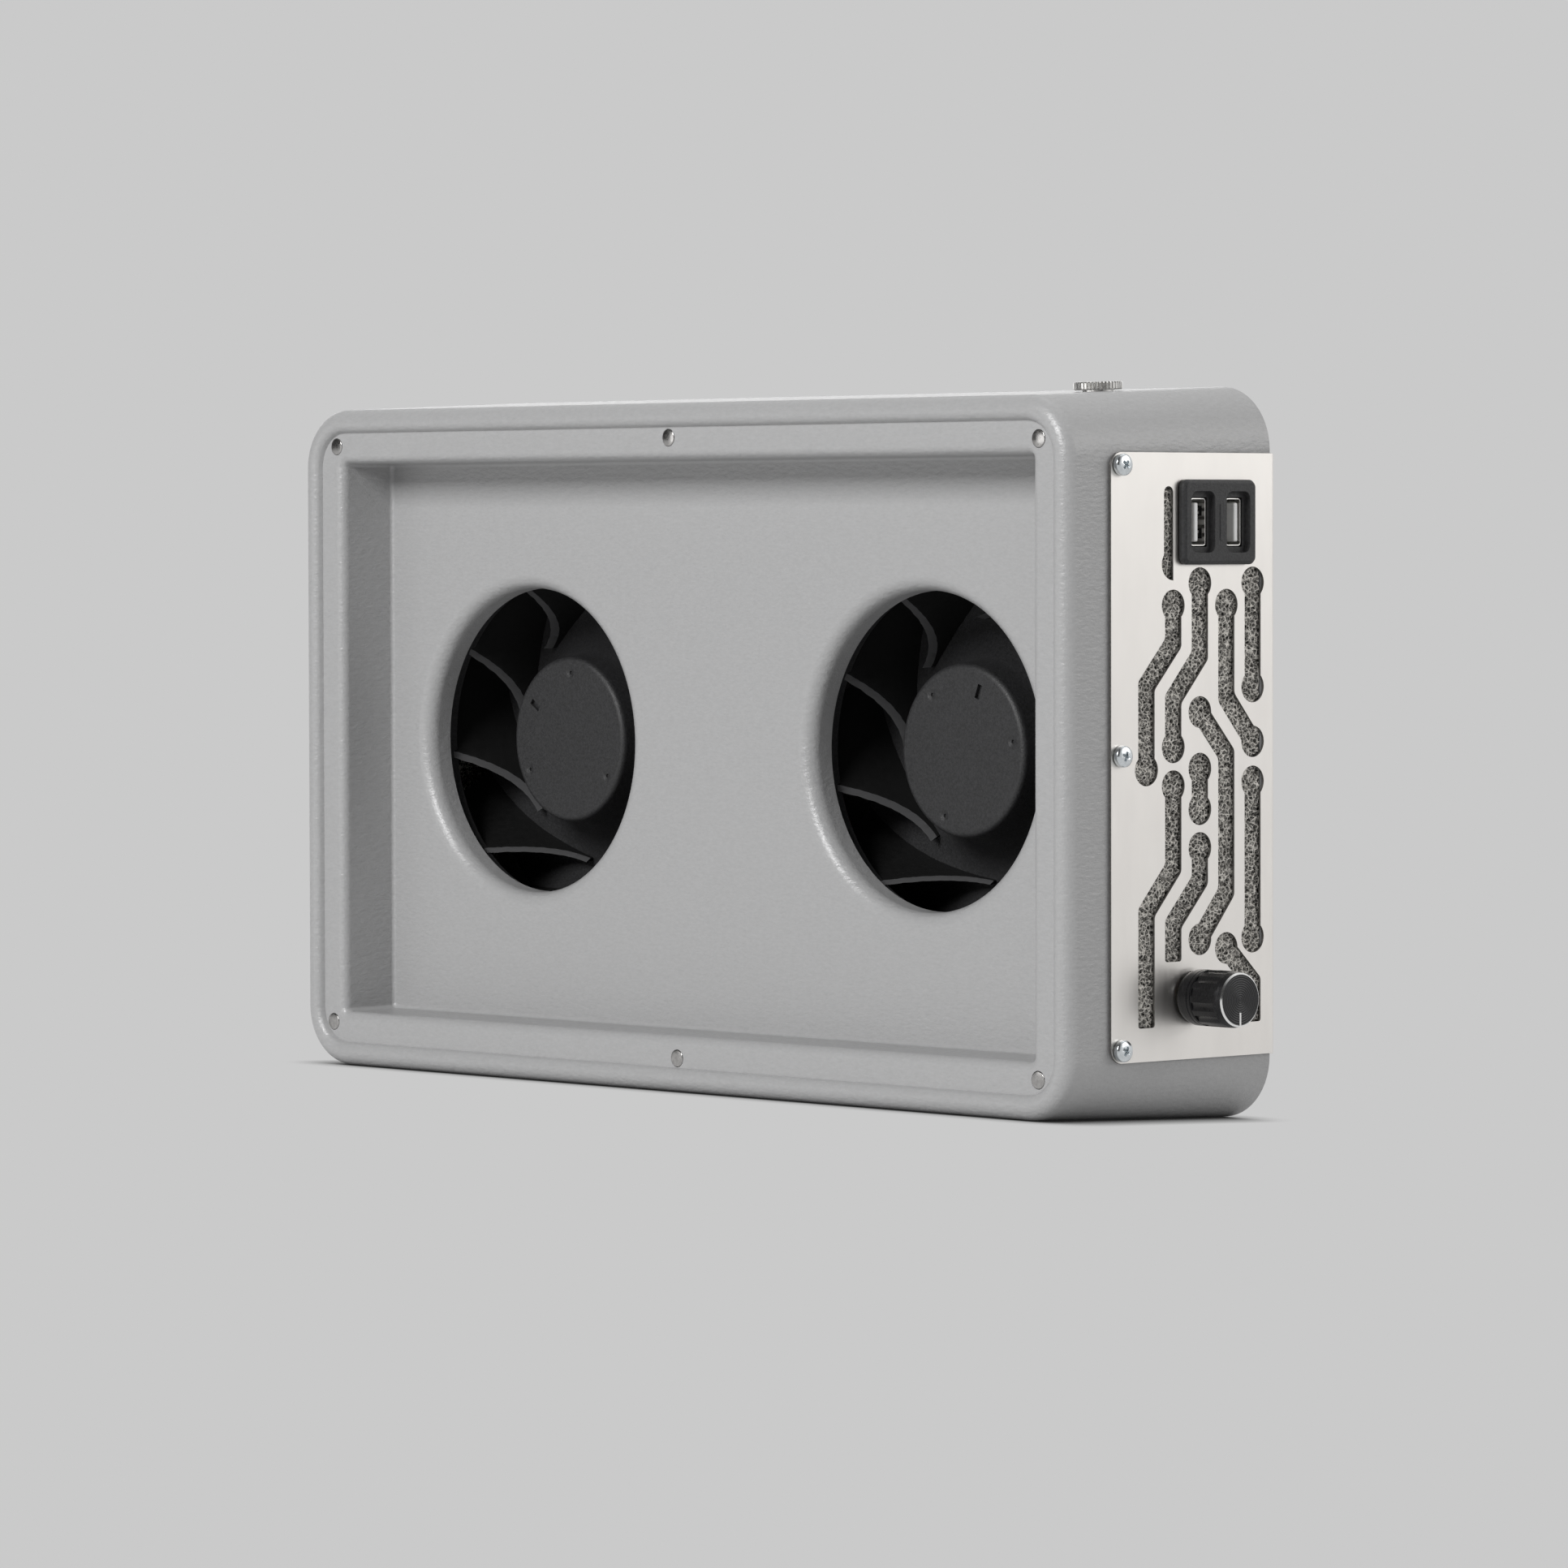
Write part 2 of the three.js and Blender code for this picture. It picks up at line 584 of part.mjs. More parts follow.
function buildImpeller(phase) {
  const h = HUB_Y;
  const b = BASE_Y;
  const hub = turned([
    [0, h], [HUB_R - HUB_EDGE_R, h], [HUB_R, h + HUB_EDGE_R],
    [HUB_R + 0.6, h + 7], [HUB_R + 4.5, b - 5.5], [BASE_START_R - 4, b - 1.6], [BASE_START_R + 2, b],
    [IMPELLER_R, b], [IMPELLER_R, b + PLATE_T], [HUB_R - HUB_WALL, b + PLATE_T],
    [HUB_R - HUB_WALL, h + HUB_WALL], [0, h + HUB_WALL],
  ], ROUND);
  const e = EYE_Y;
  const ring = turned([
    [EYE_R, e], [EYE_R + PLATE_T, e], [EYE_R + 3.6, e + 3.4], [IMPELLER_R, e + RING_DROP],
    [IMPELLER_R, e + RING_DROP + PLATE_T], [EYE_R + 3, e + 5.2], [EYE_R, e + 2.6],
  ], ROUND);
  // region of the meridian plane that the blades fill
  const channel = turned([
    [EYE_R + 0.3, e + 0.4], [EYE_R + 1.2, e + 0.4], [EYE_R + 3.3, e + 4.2], [IMPELLER_R - 0.3, e + RING_DROP + 0.8],
    [IMPELLER_R - 0.3, b + 0.8], [BASE_START_R + 1, b + 0.8], [BASE_START_R - 1.2, b - 0.4],
  ], ROUND);
  let solid = toSolid(hub).add(toSolid(ring));
  const limit = toSolid(channel);
  for (let i = 0; i < BLADES; i++) {
    const blade = new THREE.ExtrudeGeometry(bladeShape(), { depth: b + 2 - e, bevelEnabled: false });
    blade.rotateX(Math.PI / 2).translate(0, b + 2, 0);
    leaned(blade, e, b, BLADE_LEAN);
    blade.rotateY(-THREE.MathUtils.degToRad(phase + 360 / BLADES * i));
    solid = solid.add(toSolid(blade).intersect(limit));
  }
  return toGeometry(solid);
}

function buildMotor(name, x, phase, group) {
  const motor = new THREE.Group();
  motor.position.x = x;
  group.add(motor);
  const yokeR = HUB_R - HUB_WALL - CLEAR;
  const yokeT = 1;
  const open = BASE_Y - 0.5;
  const boss = BEARING_R - 0.5;
  const ringR = yokeR - yokeT - CLEAR;
  const statorR = ringR - MAGNET_RING_T - AIR_GAP;
  const frontBearing = BOSS_Y + yokeT + 4;
  const tubeR = BEARING_R + 2;
  const shoulder = BASE_Y + 5;
  const flangeY = PLATE_Y - CLEAR;
  const rearBearing = shoulder + 2;
  const shaftEnd = rearBearing + BEARING_L + 2;

  piece(motor, `impeller_${name}`, buildImpeller(phase), 'black');
  piece(motor, `rotor_yoke_${name}`, turned([
    [SHAFT_R + CLEAR, BOSS_Y], [yokeR, BOSS_Y], [yokeR, open], [yokeR - yokeT, open],
    [yokeR - yokeT, BOSS_Y + yokeT], [boss, BOSS_Y + yokeT], [boss, BOSS_Y + yokeT + 2],
    [SHAFT_R + CLEAR, BOSS_Y + yokeT + 2],
  ]), 'zinc');
  piece(motor, `magnet_ring_${name}`,
    tube(ringR, ringR - MAGNET_RING_T, BOSS_Y + 4, open - 1), 'ferrite');
  piece(motor, `rotor_shaft_${name}`, disc(SHAFT_R, BOSS_Y + 0.2, shaftEnd, TINY), 'zinc');
  piece(motor, `bearing_front_${name}`,
    tube(BEARING_R, SHAFT_R + CLEAR, frontBearing, frontBearing + BEARING_L, SMALL), 'zinc');
  piece(motor, `bearing_rear_${name}`,
    tube(BEARING_R, SHAFT_R + CLEAR, rearBearing, rearBearing + BEARING_L, SMALL), 'zinc');
  piece(motor, `stator_${name}`, buildStator(statorR, tubeR + CLEAR, frontBearing + 1, open - 2), 'copper');
  piece(motor, `motor_board_${name}`,
    tube(statorR - 0.5, tubeR + CLEAR, shoulder - CLEAR - 1.6, shoulder - CLEAR), 'board');
  const bore = BEARING_R + CLEAR;
  let base = toSolid(turned([
    [0, shaftEnd + 1], [bore, shaftEnd + 1], [bore, frontBearing - 0.5], [tubeR, frontBearing - 0.5], [tubeR, shoulder], [statorR - 2, shoulder],
    [statorR - 2, flangeY - MOTOR_FLANGE_T], [MOTOR_FLANGE_R, flangeY - MOTOR_FLANGE_T],
    [MOTOR_FLANGE_R, flangeY], [0, flangeY],
  ]));
  for (const [sx, sz] of motorScrewPlaces(0)) {
    base = base.subtract(toSolid(disc(SCREW_R + CLEAR, flangeY - 2, flangeY + 1, TINY).translate(sx, 0, sz)));
  }
  piece(motor, `motor_base_${name}`, toGeometry(base), 'black');
  motorScrewPlaces(0).forEach(([sx, sz], i) => {
    const mesh = piece(motor, `motor_screw_${name}_${i + 1}`, screw(CLEAR + SHEET + 1.5), 'zinc');
    mesh.position.set(sx, PLATE_BACK_Y, sz);
  });
}

// Laminated core with slots between its wound poles.
function buildStator(outer, inner, y0, y1) {
  const poles = 9;
  const rim = outer - 2.2;
  const root = inner + 2.6;
  const slots = [];
  for (let i = 0; i < poles; i++) {
    const mid = 2 * Math.PI * i / poles;
    const half = Math.PI / poles;
    const slot = new THREE.Shape();
    const at = (r, k) => [r * Math.cos(mid + half * k), r * Math.sin(mid + half * k)];
    slot.moveTo(...at(root, -0.35));
    slot.lineTo(...at(rim, -0.5));
    slot.lineTo(...at(rim, -0.15));
    slot.lineTo(...at(outer + 1, -0.12));
    slot.lineTo(...at(outer + 1, 0.12));
    slot.lineTo(...at(rim, 0.15));
    slot.lineTo(...at(rim, 0.5));
    slot.lineTo(...at(root, 0.35));
    slots.push(slab(slot, y0 - 1, y1 + 1));
  }
  return cut(tube(outer, inner, y0, y1, ROUND), ...slots);
}

// ---------------------------------------------------------------- control side

function buildCharger(group) {
  const w = USB_W / 2;
  const h = USB_H / 2;
  const chamfer = 1.0;
  const face = new THREE.ExtrudeGeometry(roundedRect(w - chamfer, h - chamfer, 1.2, 3), {
    depth: 0.01, bevelEnabled: true, bevelThickness: chamfer, bevelSize: chamfer, bevelSegments: 1,
  });
  // the bevel above the middle plane makes the chamfered rim, and a straight skirt fills what is below it
  face.translate(0, 0, USB_FACE - chamfer);
  const skirt = new THREE.ExtrudeGeometry(roundedRect(w, h, 2.2, 3), {
    depth: USB_FACE - chamfer - CLEAR, bevelEnabled: false,
  });
  skirt.translate(0, 0, CLEAR);
  const above = block(-50, 50, -50, 50, CLEAR, USB_FACE + 1);
  const bodyW = USB_BODY_W / 2;
  const bodyH = USB_BODY_H / 2;
  let bezel = toSolid(face).add(toSolid(skirt)).intersect(toSolid(above));
  bezel = bezel.add(toSolid(block(-bodyW, bodyW, -bodyH, bodyH, -USB_BODY_D, CLEAR + 0.5)));
  const [pocketW, pocketH, pocketD] = PORT_POCKET;
  const ports = [-PORT_PITCH / 2, PORT_PITCH / 2];
  for (const x of ports) {
    const pocket = new THREE.ExtrudeGeometry(roundedRect(pocketW / 2, pocketH / 2, 1.8, 3), {
      depth: pocketD + 1, bevelEnabled: false,
    });
    pocket.translate(x, 0, USB_FACE - pocketD);
    const hole = block(x - PORT_W / 2 - CLEAR, x + PORT_W / 2 + CLEAR,
      -PORT_H / 2 - CLEAR, PORT_H / 2 + CLEAR, -USB_BODY_D - 1, USB_FACE + 1);
    bezel = bezel.subtract(toSolid(pocket)).subtract(toSolid(hole));
  }
  // a plain raised bar between the two ports
  bezel = bezel.add(toSolid(block(-0.5, 0.5, -5, 5, USB_FACE - 0.3, USB_FACE + 0.3)));

  // socket frame: x across, y up, z out of the flange
  const socket = new THREE.Group();
  socket.position.set(0, USB_S, USB_Z);
  socket.quaternion.setFromRotationMatrix(new THREE.Matrix4().makeBasis(
    new THREE.Vector3(0, 1, 0), new THREE.Vector3(0, 0, 1), new THREE.Vector3(1, 0, 0),
  ));
  group.add(socket);
  piece(socket, 'charger_bezel', toGeometry(bezel), 'black');
  const shellTop = USB_FACE - pocketD + 0.4;
  ports.forEach((x, i) => {
    const depth = USB_BODY_D - 1;
    const outer = block(-PORT_W / 2, PORT_W / 2, -PORT_H / 2, PORT_H / 2, shellTop - depth, shellTop);
    const inner = block(-PORT_W / 2 + PORT_WALL, PORT_W / 2 - PORT_WALL,
      -PORT_H / 2 + PORT_WALL, PORT_H / 2 - PORT_WALL, shellTop - depth - 1, shellTop + 1);
    piece(socket, `charger_port_shell_${i + 1}`, cut(outer, inner), 'nickel').position.x = x;
    const clearW = PORT_W / 2 - PORT_WALL - CLEAR;
    const clearH = PORT_H / 2 - PORT_WALL - CLEAR;
    const heel = block(-clearW, clearW, -clearH, clearH, shellTop - depth + 0.2, shellTop - depth + 3);
    // the tongue lies against the port's front wall in the first port and the rear wall in the second
    const [near, far] = i === 0 ? [-1.7, 0.2] : [-0.2, 1.7];
    const tongue = block(near, far, -5.5, 5.5, shellTop - depth + 2, shellTop - 1.4);
    piece(socket, `charger_port_tongue_${i + 1}`, joined(heel, tongue), 'white').position.x = x;
  });
  const board = block(-bodyW, bodyW, -bodyH, bodyH, -USB_BODY_D - CLEAR - 1.6, -USB_BODY_D - CLEAR);
  const coil = disc(4, -3, 3, SMALL).rotateX(Math.PI / 2).translate(5, 3, -USB_BODY_D - 4);
  piece(socket, 'charger_board', joined(board, coil), 'board');
}

function buildSpeedControl(group) {
  // control frame: the y axis of every turned shape points out of the flange
  const control = new THREE.Group();
  control.position.set(0, KNOB_S, KNOB_Z);
  control.rotation.z = -Math.PI / 2;
  group.add(control);
  const inside = -SHEET - CLEAR;
  const bushTop = POT_NUT_T + CLEAR + 1.2;
  const shaftBore = POT_SHAFT_R + CLEAR;
  piece(control, 'control_body', turned([
    [0, inside - POT_D], [POT_R, inside - POT_D], [POT_R, inside], [BUSH_R, inside], [BUSH_R, bushTop],
    [shaftBore - 0.1, bushTop], [shaftBore - 0.1, inside - 4], [0, inside - 4],
  ], SMALL), 'zinc');
  const nutTop = CLEAR + POT_NUT_T;
  const nut = cut(disc(POT_NUT_R, CLEAR, nutTop, 6), disc(BUSH_R + CLEAR, 0, nutTop + 1, SMALL));
  piece(control, 'control_nut', nut, 'brass');
  const bore = POT_NUT_R + 0.6;
  const top = KNOB_TOP;
  const shaftTop = top - 4;
  piece(control, 'control_shaft', disc(POT_SHAFT_R - 0.1, inside - 3.7, shaftTop, SMALL), 'zinc');
  const skirtR = KNOB_R + 0.3;
  let knob = toSolid(turned([
    [0, shaftTop + CLEAR], [shaftBore, shaftTop + CLEAR], [shaftBore, bushTop + 1], [bore, bushTop + 1],
    [bore, KNOB_GAP], [skirtR, KNOB_GAP], [skirtR, 4.2], [skirtR - 0.5, 4.5], [skirtR - 0.5, 5.1],
    [skirtR, 5.4], [skirtR - 0.1, top - 1.6], [KNOB_R - 0.1, top - 0.5], [KNOB_R - 0.7, top],
    [0, top],
  ], ROUND));
  const flutes = 12;
  for (let i = 0; i < flutes; i++) {
    const a = 2 * Math.PI * (i + 0.5) / flutes;
    const flute = disc(1.0, 5.6, top - 2.6, 5).translate((skirtR + 0.55) * Math.cos(a), 0, (skirtR + 0.55) * Math.sin(a));
    knob = knob.subtract(toSolid(flute));
  }
  const pointer = block(-0.35, 0.35, top - 0.25, top + 1, -KNOB_R - 1, -KNOB_R + 3.6);
  knob = knob.subtract(toSolid(pointer));
  piece(control, 'speed_knob', toGeometry(knob), 'anodised');
}

function buildFoam(side) {
  const [s0, s1] = WINDOW_S;
  const front = -SHEET - CLEAR;
  const pad = block(front - FOAM_T, front, s0 + CLEAR, s1 - CLEAR, CLEAR - WINDOW_HALF_Z, WINDOW_HALF_Z - CLEAR);
  if (side < 0) return pad.translate(-2 * front + FOAM_T, 0, 0);
  const socket = block(-30, 5, USB_S - USB_BODY_W / 2 - 1, s1 + 5,
    USB_Z - USB_BODY_H / 2 - 1, USB_Z + USB_BODY_H / 2 + 30);
  const pot = disc(POT_R + 0.8, -30, 5, SMALL).rotateZ(-Math.PI / 2).translate(0, KNOB_S, KNOB_Z);
  return cut(pad, socket, pot);
}

function buildPowerSocket(group) {
  const frame = socketFrame();
  group.add(frame);
  const under = -WALL - CLEAR;
  const top = CLEAR + SOCKET_RING_T;
  const floor = -SOCKET_D + 1.5;
  const lip = turned([
    [0, -SOCKET_D], [SOCKET_R + 2.4, -SOCKET_D], [SOCKET_R + 2.4, under], [SOCKET_R, under], [SOCKET_R, top - 0.3],
    [SOCKET_BORE_R, top - 0.3], [SOCKET_BORE_R, floor], [SOCKET_PIN_R, floor], [SOCKET_PIN_R, top - 3],
    [0, top - 3],
  ], SMALL);
  piece(frame, 'power_socket', lip, 'nickel');
  let ring = toSolid(tube(SOCKET_RING_R, SOCKET_R + CLEAR, CLEAR, top, ROUND));
  const teeth = 14;
  for (let i = 0; i < teeth; i++) {
    const a = 2 * Math.PI * i / teeth;
    const notch = block(-0.3, 0.3, -5, 5, -0.3, 0.3).rotateY(Math.PI / 4);
    notch.translate(SOCKET_RING_R, 0, 0).rotateY(a);
    ring = ring.subtract(toSolid(notch));
  }
  piece(frame, 'power_socket_ring', toGeometry(ring), 'nickel');
}

function buildBoard(group) {
  const [w, h, t] = BOARD;
  const y0 = FLOOR_Y + WALL + CLEAR;
  const z = -FRONT_H / 2 + 34;
  const plate = block(-w / 2, w / 2, y0, y0 + t, z - h / 2, z + h / 2);
  const capacitor = disc(5, y0 + 1, y0 + 11, SMALL).translate(-12, 0, z);
  const driver = block(-2, 8, y0 + 1, y0 + 4, z - 6, z + 4);
  const plug = block(12, 19, y0 + 1, y0 + 8, z - 8, z + 8);
  piece(group, 'speed_board', joined(plate, capacitor, driver, plug), 'board');
}

// ---------------------------------------------------------------- assembly

const extractor = new THREE.Group();
const body = new THREE.Group();
extractor.add(body);

piece(body, 'front_shell', buildShell(), 'plastic');
piece(body, 'folded_cover', buildCover(), 'steel');

for (const [name, [x, z]] of Object.entries(magnetPlaces())) {
  const magnet = turned([
    [0, -MAGNET_PROUD], [MAGNET_R - 0.3, -MAGNET_PROUD], [MAGNET_R, -MAGNET_PROUD + 0.3],
    [MAGNET_R, MAGNET_T - MAGNET_PROUD], [0, MAGNET_T - MAGNET_PROUD],
  ], SMALL);
  piece(body, name, magnet, 'nickel').position.set(x, 0, z);
}

buildMotor('left', -INTAKE_SPAN / 2, BLADE_PHASE.left, body);
buildMotor('right', INTAKE_SPAN / 2, BLADE_PHASE.right, body);

for (const [side, label] of [[1, 'right'], [-1, 'left']]) {
  const wall = sideFrame(side);
  body.add(wall);
  piece(wall, `foam_filter_${label}`, buildFoam(side), 'foam');
  for (const [place, z] of Object.entries(sideScrewPlaces())) {
    const mesh = piece(wall, `side_screw_${label}_${place}`, screw(SHEET + CLEAR + WALL + 3), 'zinc');
    mesh.position.set(0, SIDE_SCREW_S, z);
    mesh.rotation.z = -side * Math.PI / 2;
  }
  if (side > 0) {
    buildCharger(wall);
    buildSpeedControl(wall);
  }
}
buildPowerSocket(body);
buildBoard(body);

// the origin is under the middle of the whole object, on the surface it stands on
extractor.updateMatrixWorld(true);
const box = new THREE.Box3().setFromObject(extractor, true);
body.position.set(-(box.min.x + box.max.x) / 2, -(box.min.y + box.max.y) / 2, -box.min.z);
extractor.updateMatrixWorld(true);

export default extractor;
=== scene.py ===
"""Twin-fan table-top dust extractor, modelled as an add-on round its fixed frame.

Every piece is made in the frame's own metres. Pieces that face the user are modelled facing -Y with X to
the right and Z up, and are then laid on the front, on an end flange, on the back or on the top wall.
"""

import json
import math

import bpy
from bpy.props import FloatProperty, FloatVectorProperty, IntProperty, PointerProperty
from mathutils import Matrix, Vector


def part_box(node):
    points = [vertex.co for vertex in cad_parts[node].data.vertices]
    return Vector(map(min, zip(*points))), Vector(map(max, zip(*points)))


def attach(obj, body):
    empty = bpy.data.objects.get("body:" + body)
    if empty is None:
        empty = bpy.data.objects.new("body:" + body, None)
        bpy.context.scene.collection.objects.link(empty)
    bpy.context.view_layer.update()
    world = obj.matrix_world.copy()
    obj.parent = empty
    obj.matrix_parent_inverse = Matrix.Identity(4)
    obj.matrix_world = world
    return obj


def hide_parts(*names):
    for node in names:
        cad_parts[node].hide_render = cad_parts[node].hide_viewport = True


bl_info = {
    "name": "Twin-fan dust extractor",
    "version": (1, 0, 0),
    "blender": (4, 5, 0),
    "location": "3D View > Sidebar > Extractor",
    "description": "Models the shell, cover, impellers and controls of a table-top dust extractor",
    "category": "Object",
}

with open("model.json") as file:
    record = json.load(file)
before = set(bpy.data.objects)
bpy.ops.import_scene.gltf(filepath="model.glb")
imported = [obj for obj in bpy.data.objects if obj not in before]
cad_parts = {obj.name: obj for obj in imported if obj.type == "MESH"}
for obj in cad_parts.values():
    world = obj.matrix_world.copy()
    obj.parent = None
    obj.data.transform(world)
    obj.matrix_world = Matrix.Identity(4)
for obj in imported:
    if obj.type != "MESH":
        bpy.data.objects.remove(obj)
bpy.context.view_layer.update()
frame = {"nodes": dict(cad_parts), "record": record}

MM = 0.001
WELD = 0.004 * MM                  # vertices nearer than this are one


# ------------------------------------------------------------------ places, read from the frame

SHELL_LOW, SHELL_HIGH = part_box("front_shell")
COVER_LOW, COVER_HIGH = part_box("folded_cover")
CENTRE = (SHELL_LOW + SHELL_HIGH) / 2
HALF_W = (SHELL_HIGH.x - SHELL_LOW.x) / 2        # over the rear rim
HALF_H = (SHELL_HIGH.z - SHELL_LOW.z) / 2
DRAFT = 0.0385                                   # widening of every wall per length of depth
LEAN = math.atan(DRAFT)
BEAD_RISE = 2.3 * MM
LEDGE_Y = SHELL_LOW.y + BEAD_RISE
REAR_Y = SHELL_HIGH.y - LEDGE_Y                  # behind the ledge, as every y below
BEAD_Y = -BEAD_RISE
BACK_Y = COVER_HIGH.y - LEDGE_Y                  # outer face of the rear plate
SHEET = BACK_Y - (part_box("motor_base_left")[1].y - LEDGE_Y) - 0.6 * MM
FAN_X = {side: sum(p.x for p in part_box(f"motor_base_{side}")) / 2 - CENTRE.x for side in ("left", "right")}
FLANGE_H = 167 * MM
FLANGE_D = 63.4 * MM
REACH = HALF_W + 0.3 * MM + SHEET                # outer face of a flange at its bend
SIDES = {"left": -1, "right": 1}
CLEAR = 0.3 * MM                                 # gap between two fitted pieces
PLATE_INSET = 1.2 * MM                           # rear plate inside the shell's rear outline
PLATE_CORNER = 16.8 * MM
SCREW_HOLE = 1.8 * MM                            # radius
SCREW_ALONG = 3.6 * MM                           # from a flange's front edge, as every place along below
WINDOW = (9 * MM, 58.5 * MM)                     # opening of an end wall behind its flange
WINDOW_HALF_Z = 77.5 * MM
SOCKET_ALONG, SOCKET_Z = 39.7 * MM, 64.4 * MM    # charging socket
SOCKET_BODY_W, SOCKET_BODY_H = 25.2 * MM, 20 * MM
KNOB_ALONG, KNOB_Z = 31.5 * MM, -66.4 * MM
INLET_AT = (136 * MM, 37 * MM)                   # power inlet on the top wall
INLET_HOLE = 4.7 * MM
MAGNET_R = 2.45 * MM
EYE_GAP = 1.6 * MM                               # intake nozzle to the impeller's front ring

# vent runs of a flange, as [column, height in mm] points; the flags say which ends carry a round pad
RUNS = (
    (((1, 41.5), (1, 31.2), (0, 19.6), (0, -3.5)), (1, 1)),
    (((2, 47.6), (2, 27.7), (1, 15.8), (1, 2.6)), (1, 1)),
    (((3, 41.6), (3, 16.0), (4, 3.6)), (1, 1)),
    (((4, 47.7), (4, 18.8)), (1, 1)),
    (((2, 12.1), (3, 0.3), (3, -37.8), (2, -50.6)), (1, 1)),
    (((2, -3.5), (2, -14.7)), (1, 1)),
    (((1, -8.1), (1, -30.6), (0, -42.5), (0, -74.2)), (1, 0)),
    (((2, -25.4), (2, -34.3), (1, -46.0), (1, -56.4)), (1, 0)),
    (((4, -7.5), (4, -50.7)), (1, 1)),
    (((3, -53.4), (4, -63.4), (4, -74.3)), (1, 0)),
)


def front_place(x=0.0, y=0.0, z=0.0, turn=0.0):
    """Places a piece that faces -Y, measured from the middle of the ledge plane."""
    home = Vector((CENTRE.x + x, LEDGE_Y + y, CENTRE.z + z))
    return Matrix.Translation(home) @ Matrix.Rotation(turn, 4, "Y")


def wall_place(side, along=0.0, depth=0.0, z=0.0, turn=0.0):
    """Places a piece that faces -Y on an end flange: along runs back from the flange's front edge."""
    sign = SIDES[side]
    out = Vector((sign * math.cos(LEAN), -math.sin(LEAN), 0))
    back = Vector((sign * math.sin(LEAN), math.cos(LEAN), 0))
    front_y = BACK_Y - FLANGE_D * math.cos(LEAN)
    edge = Vector((CENTRE.x + sign * (REACH - DRAFT * (BACK_Y - front_y)), LEDGE_Y + front_y, CENTRE.z))
    home = edge + back * along - out * depth + Vector((0, 0, z))
    axes = Matrix((sign * back, -out, Vector((0, 0, 1)))).transposed().to_4x4()
    return Matrix.Translation(home) @ axes @ Matrix.Rotation(turn, 4, "Y")


def back_place(x, z, turn=0.0):
    """Places a piece that faces -Y on the rear plate, turned to face +Y."""
    home = Vector((CENTRE.x + x, LEDGE_Y + BACK_Y, CENTRE.z + z))
    return Matrix.Translation(home) @ Matrix.Rotation(math.pi, 4, "Z") @ Matrix.Rotation(turn, 4, "Y")


def top_place(x, y):
    """Places a piece that faces -Y on the drafted top wall, turned to face up."""
    home = Vector((CENTRE.x + x, LEDGE_Y + y, CENTRE.z + HALF_H - DRAFT * (REAR_Y - y)))
    return Matrix.Translation(home) @ Matrix.Rotation(LEAN - math.pi / 2, 4, "X")


# ------------------------------------------------------------------ settings a user would change


class ShellSizes(bpy.types.PropertyGroup):
    """Sizes of the vacuum-formed tray."""

    wall: FloatProperty(name="Wall", description="Sheet thickness", default=2.2 * MM, unit="LENGTH")
    corner: FloatProperty(name="Corner", description="Rear corner radius", default=18 * MM, unit="LENGTH")
    bead: FloatProperty(name="Bead", description="Width of the rolled bead", default=7 * MM, unit="LENGTH")
    crest: FloatProperty(name="Crest", description="Radius of the bead", default=4.2 * MM, unit="LENGTH")
    ledge: FloatProperty(name="Ledge", description="Width of the ledge", default=9.2 * MM, unit="LENGTH")
    ledge_edge: FloatProperty(name="Ledge edge", description="Rounding into the recess",
                              default=2.7 * MM, unit="LENGTH")
    recess: FloatProperty(name="Recess", description="Depth from ledge to floor", default=19 * MM,
                          unit="LENGTH")
    closing: FloatProperty(name="Side draft", description="Closing of the recess sides",
                           default=0.9 * MM, unit="LENGTH")
    closing_z: FloatProperty(name="Top draft", description="Closing of the recess top and bottom",
                             default=0.2 * MM, unit="LENGTH")
    intake: FloatProperty(name="Intake", description="Intake radius", default=45.4 * MM, unit="LENGTH")
    lip: FloatProperty(name="Lip", description="Rounding of the intake mouth", default=4.6 * MM,
                       unit="LENGTH")
    nozzle: FloatProperty(name="Nozzle", description="Length of the intake nozzle", default=9 * MM,
                          unit="LENGTH")


class CoverSizes(bpy.types.PropertyGroup):
    """Sizes of the folded steel cover and its vents."""

    bend: FloatProperty(name="Bend", description="Outer bend radius", default=1.5 * MM, unit="LENGTH")
    corner: FloatProperty(name="Corner", description="Flange corner radius", default=4 * MM, unit="LENGTH")
    track: FloatProperty(name="Track", description="Width of a vent run", default=6.2 * MM, unit="LENGTH")
    pad: FloatProperty(name="Pad", description="Radius of a vent pad", default=4.35 * MM, unit="LENGTH")
    column: FloatProperty(name="Column", description="First vent column", default=13.4 * MM, unit="LENGTH")
    pitch: FloatProperty(name="Pitch", description="Vent column pitch", default=10.25 * MM, unit="LENGTH")
    pore: FloatProperty(name="Pore", description="Foam pore size", default=1.35 * MM, unit="LENGTH")


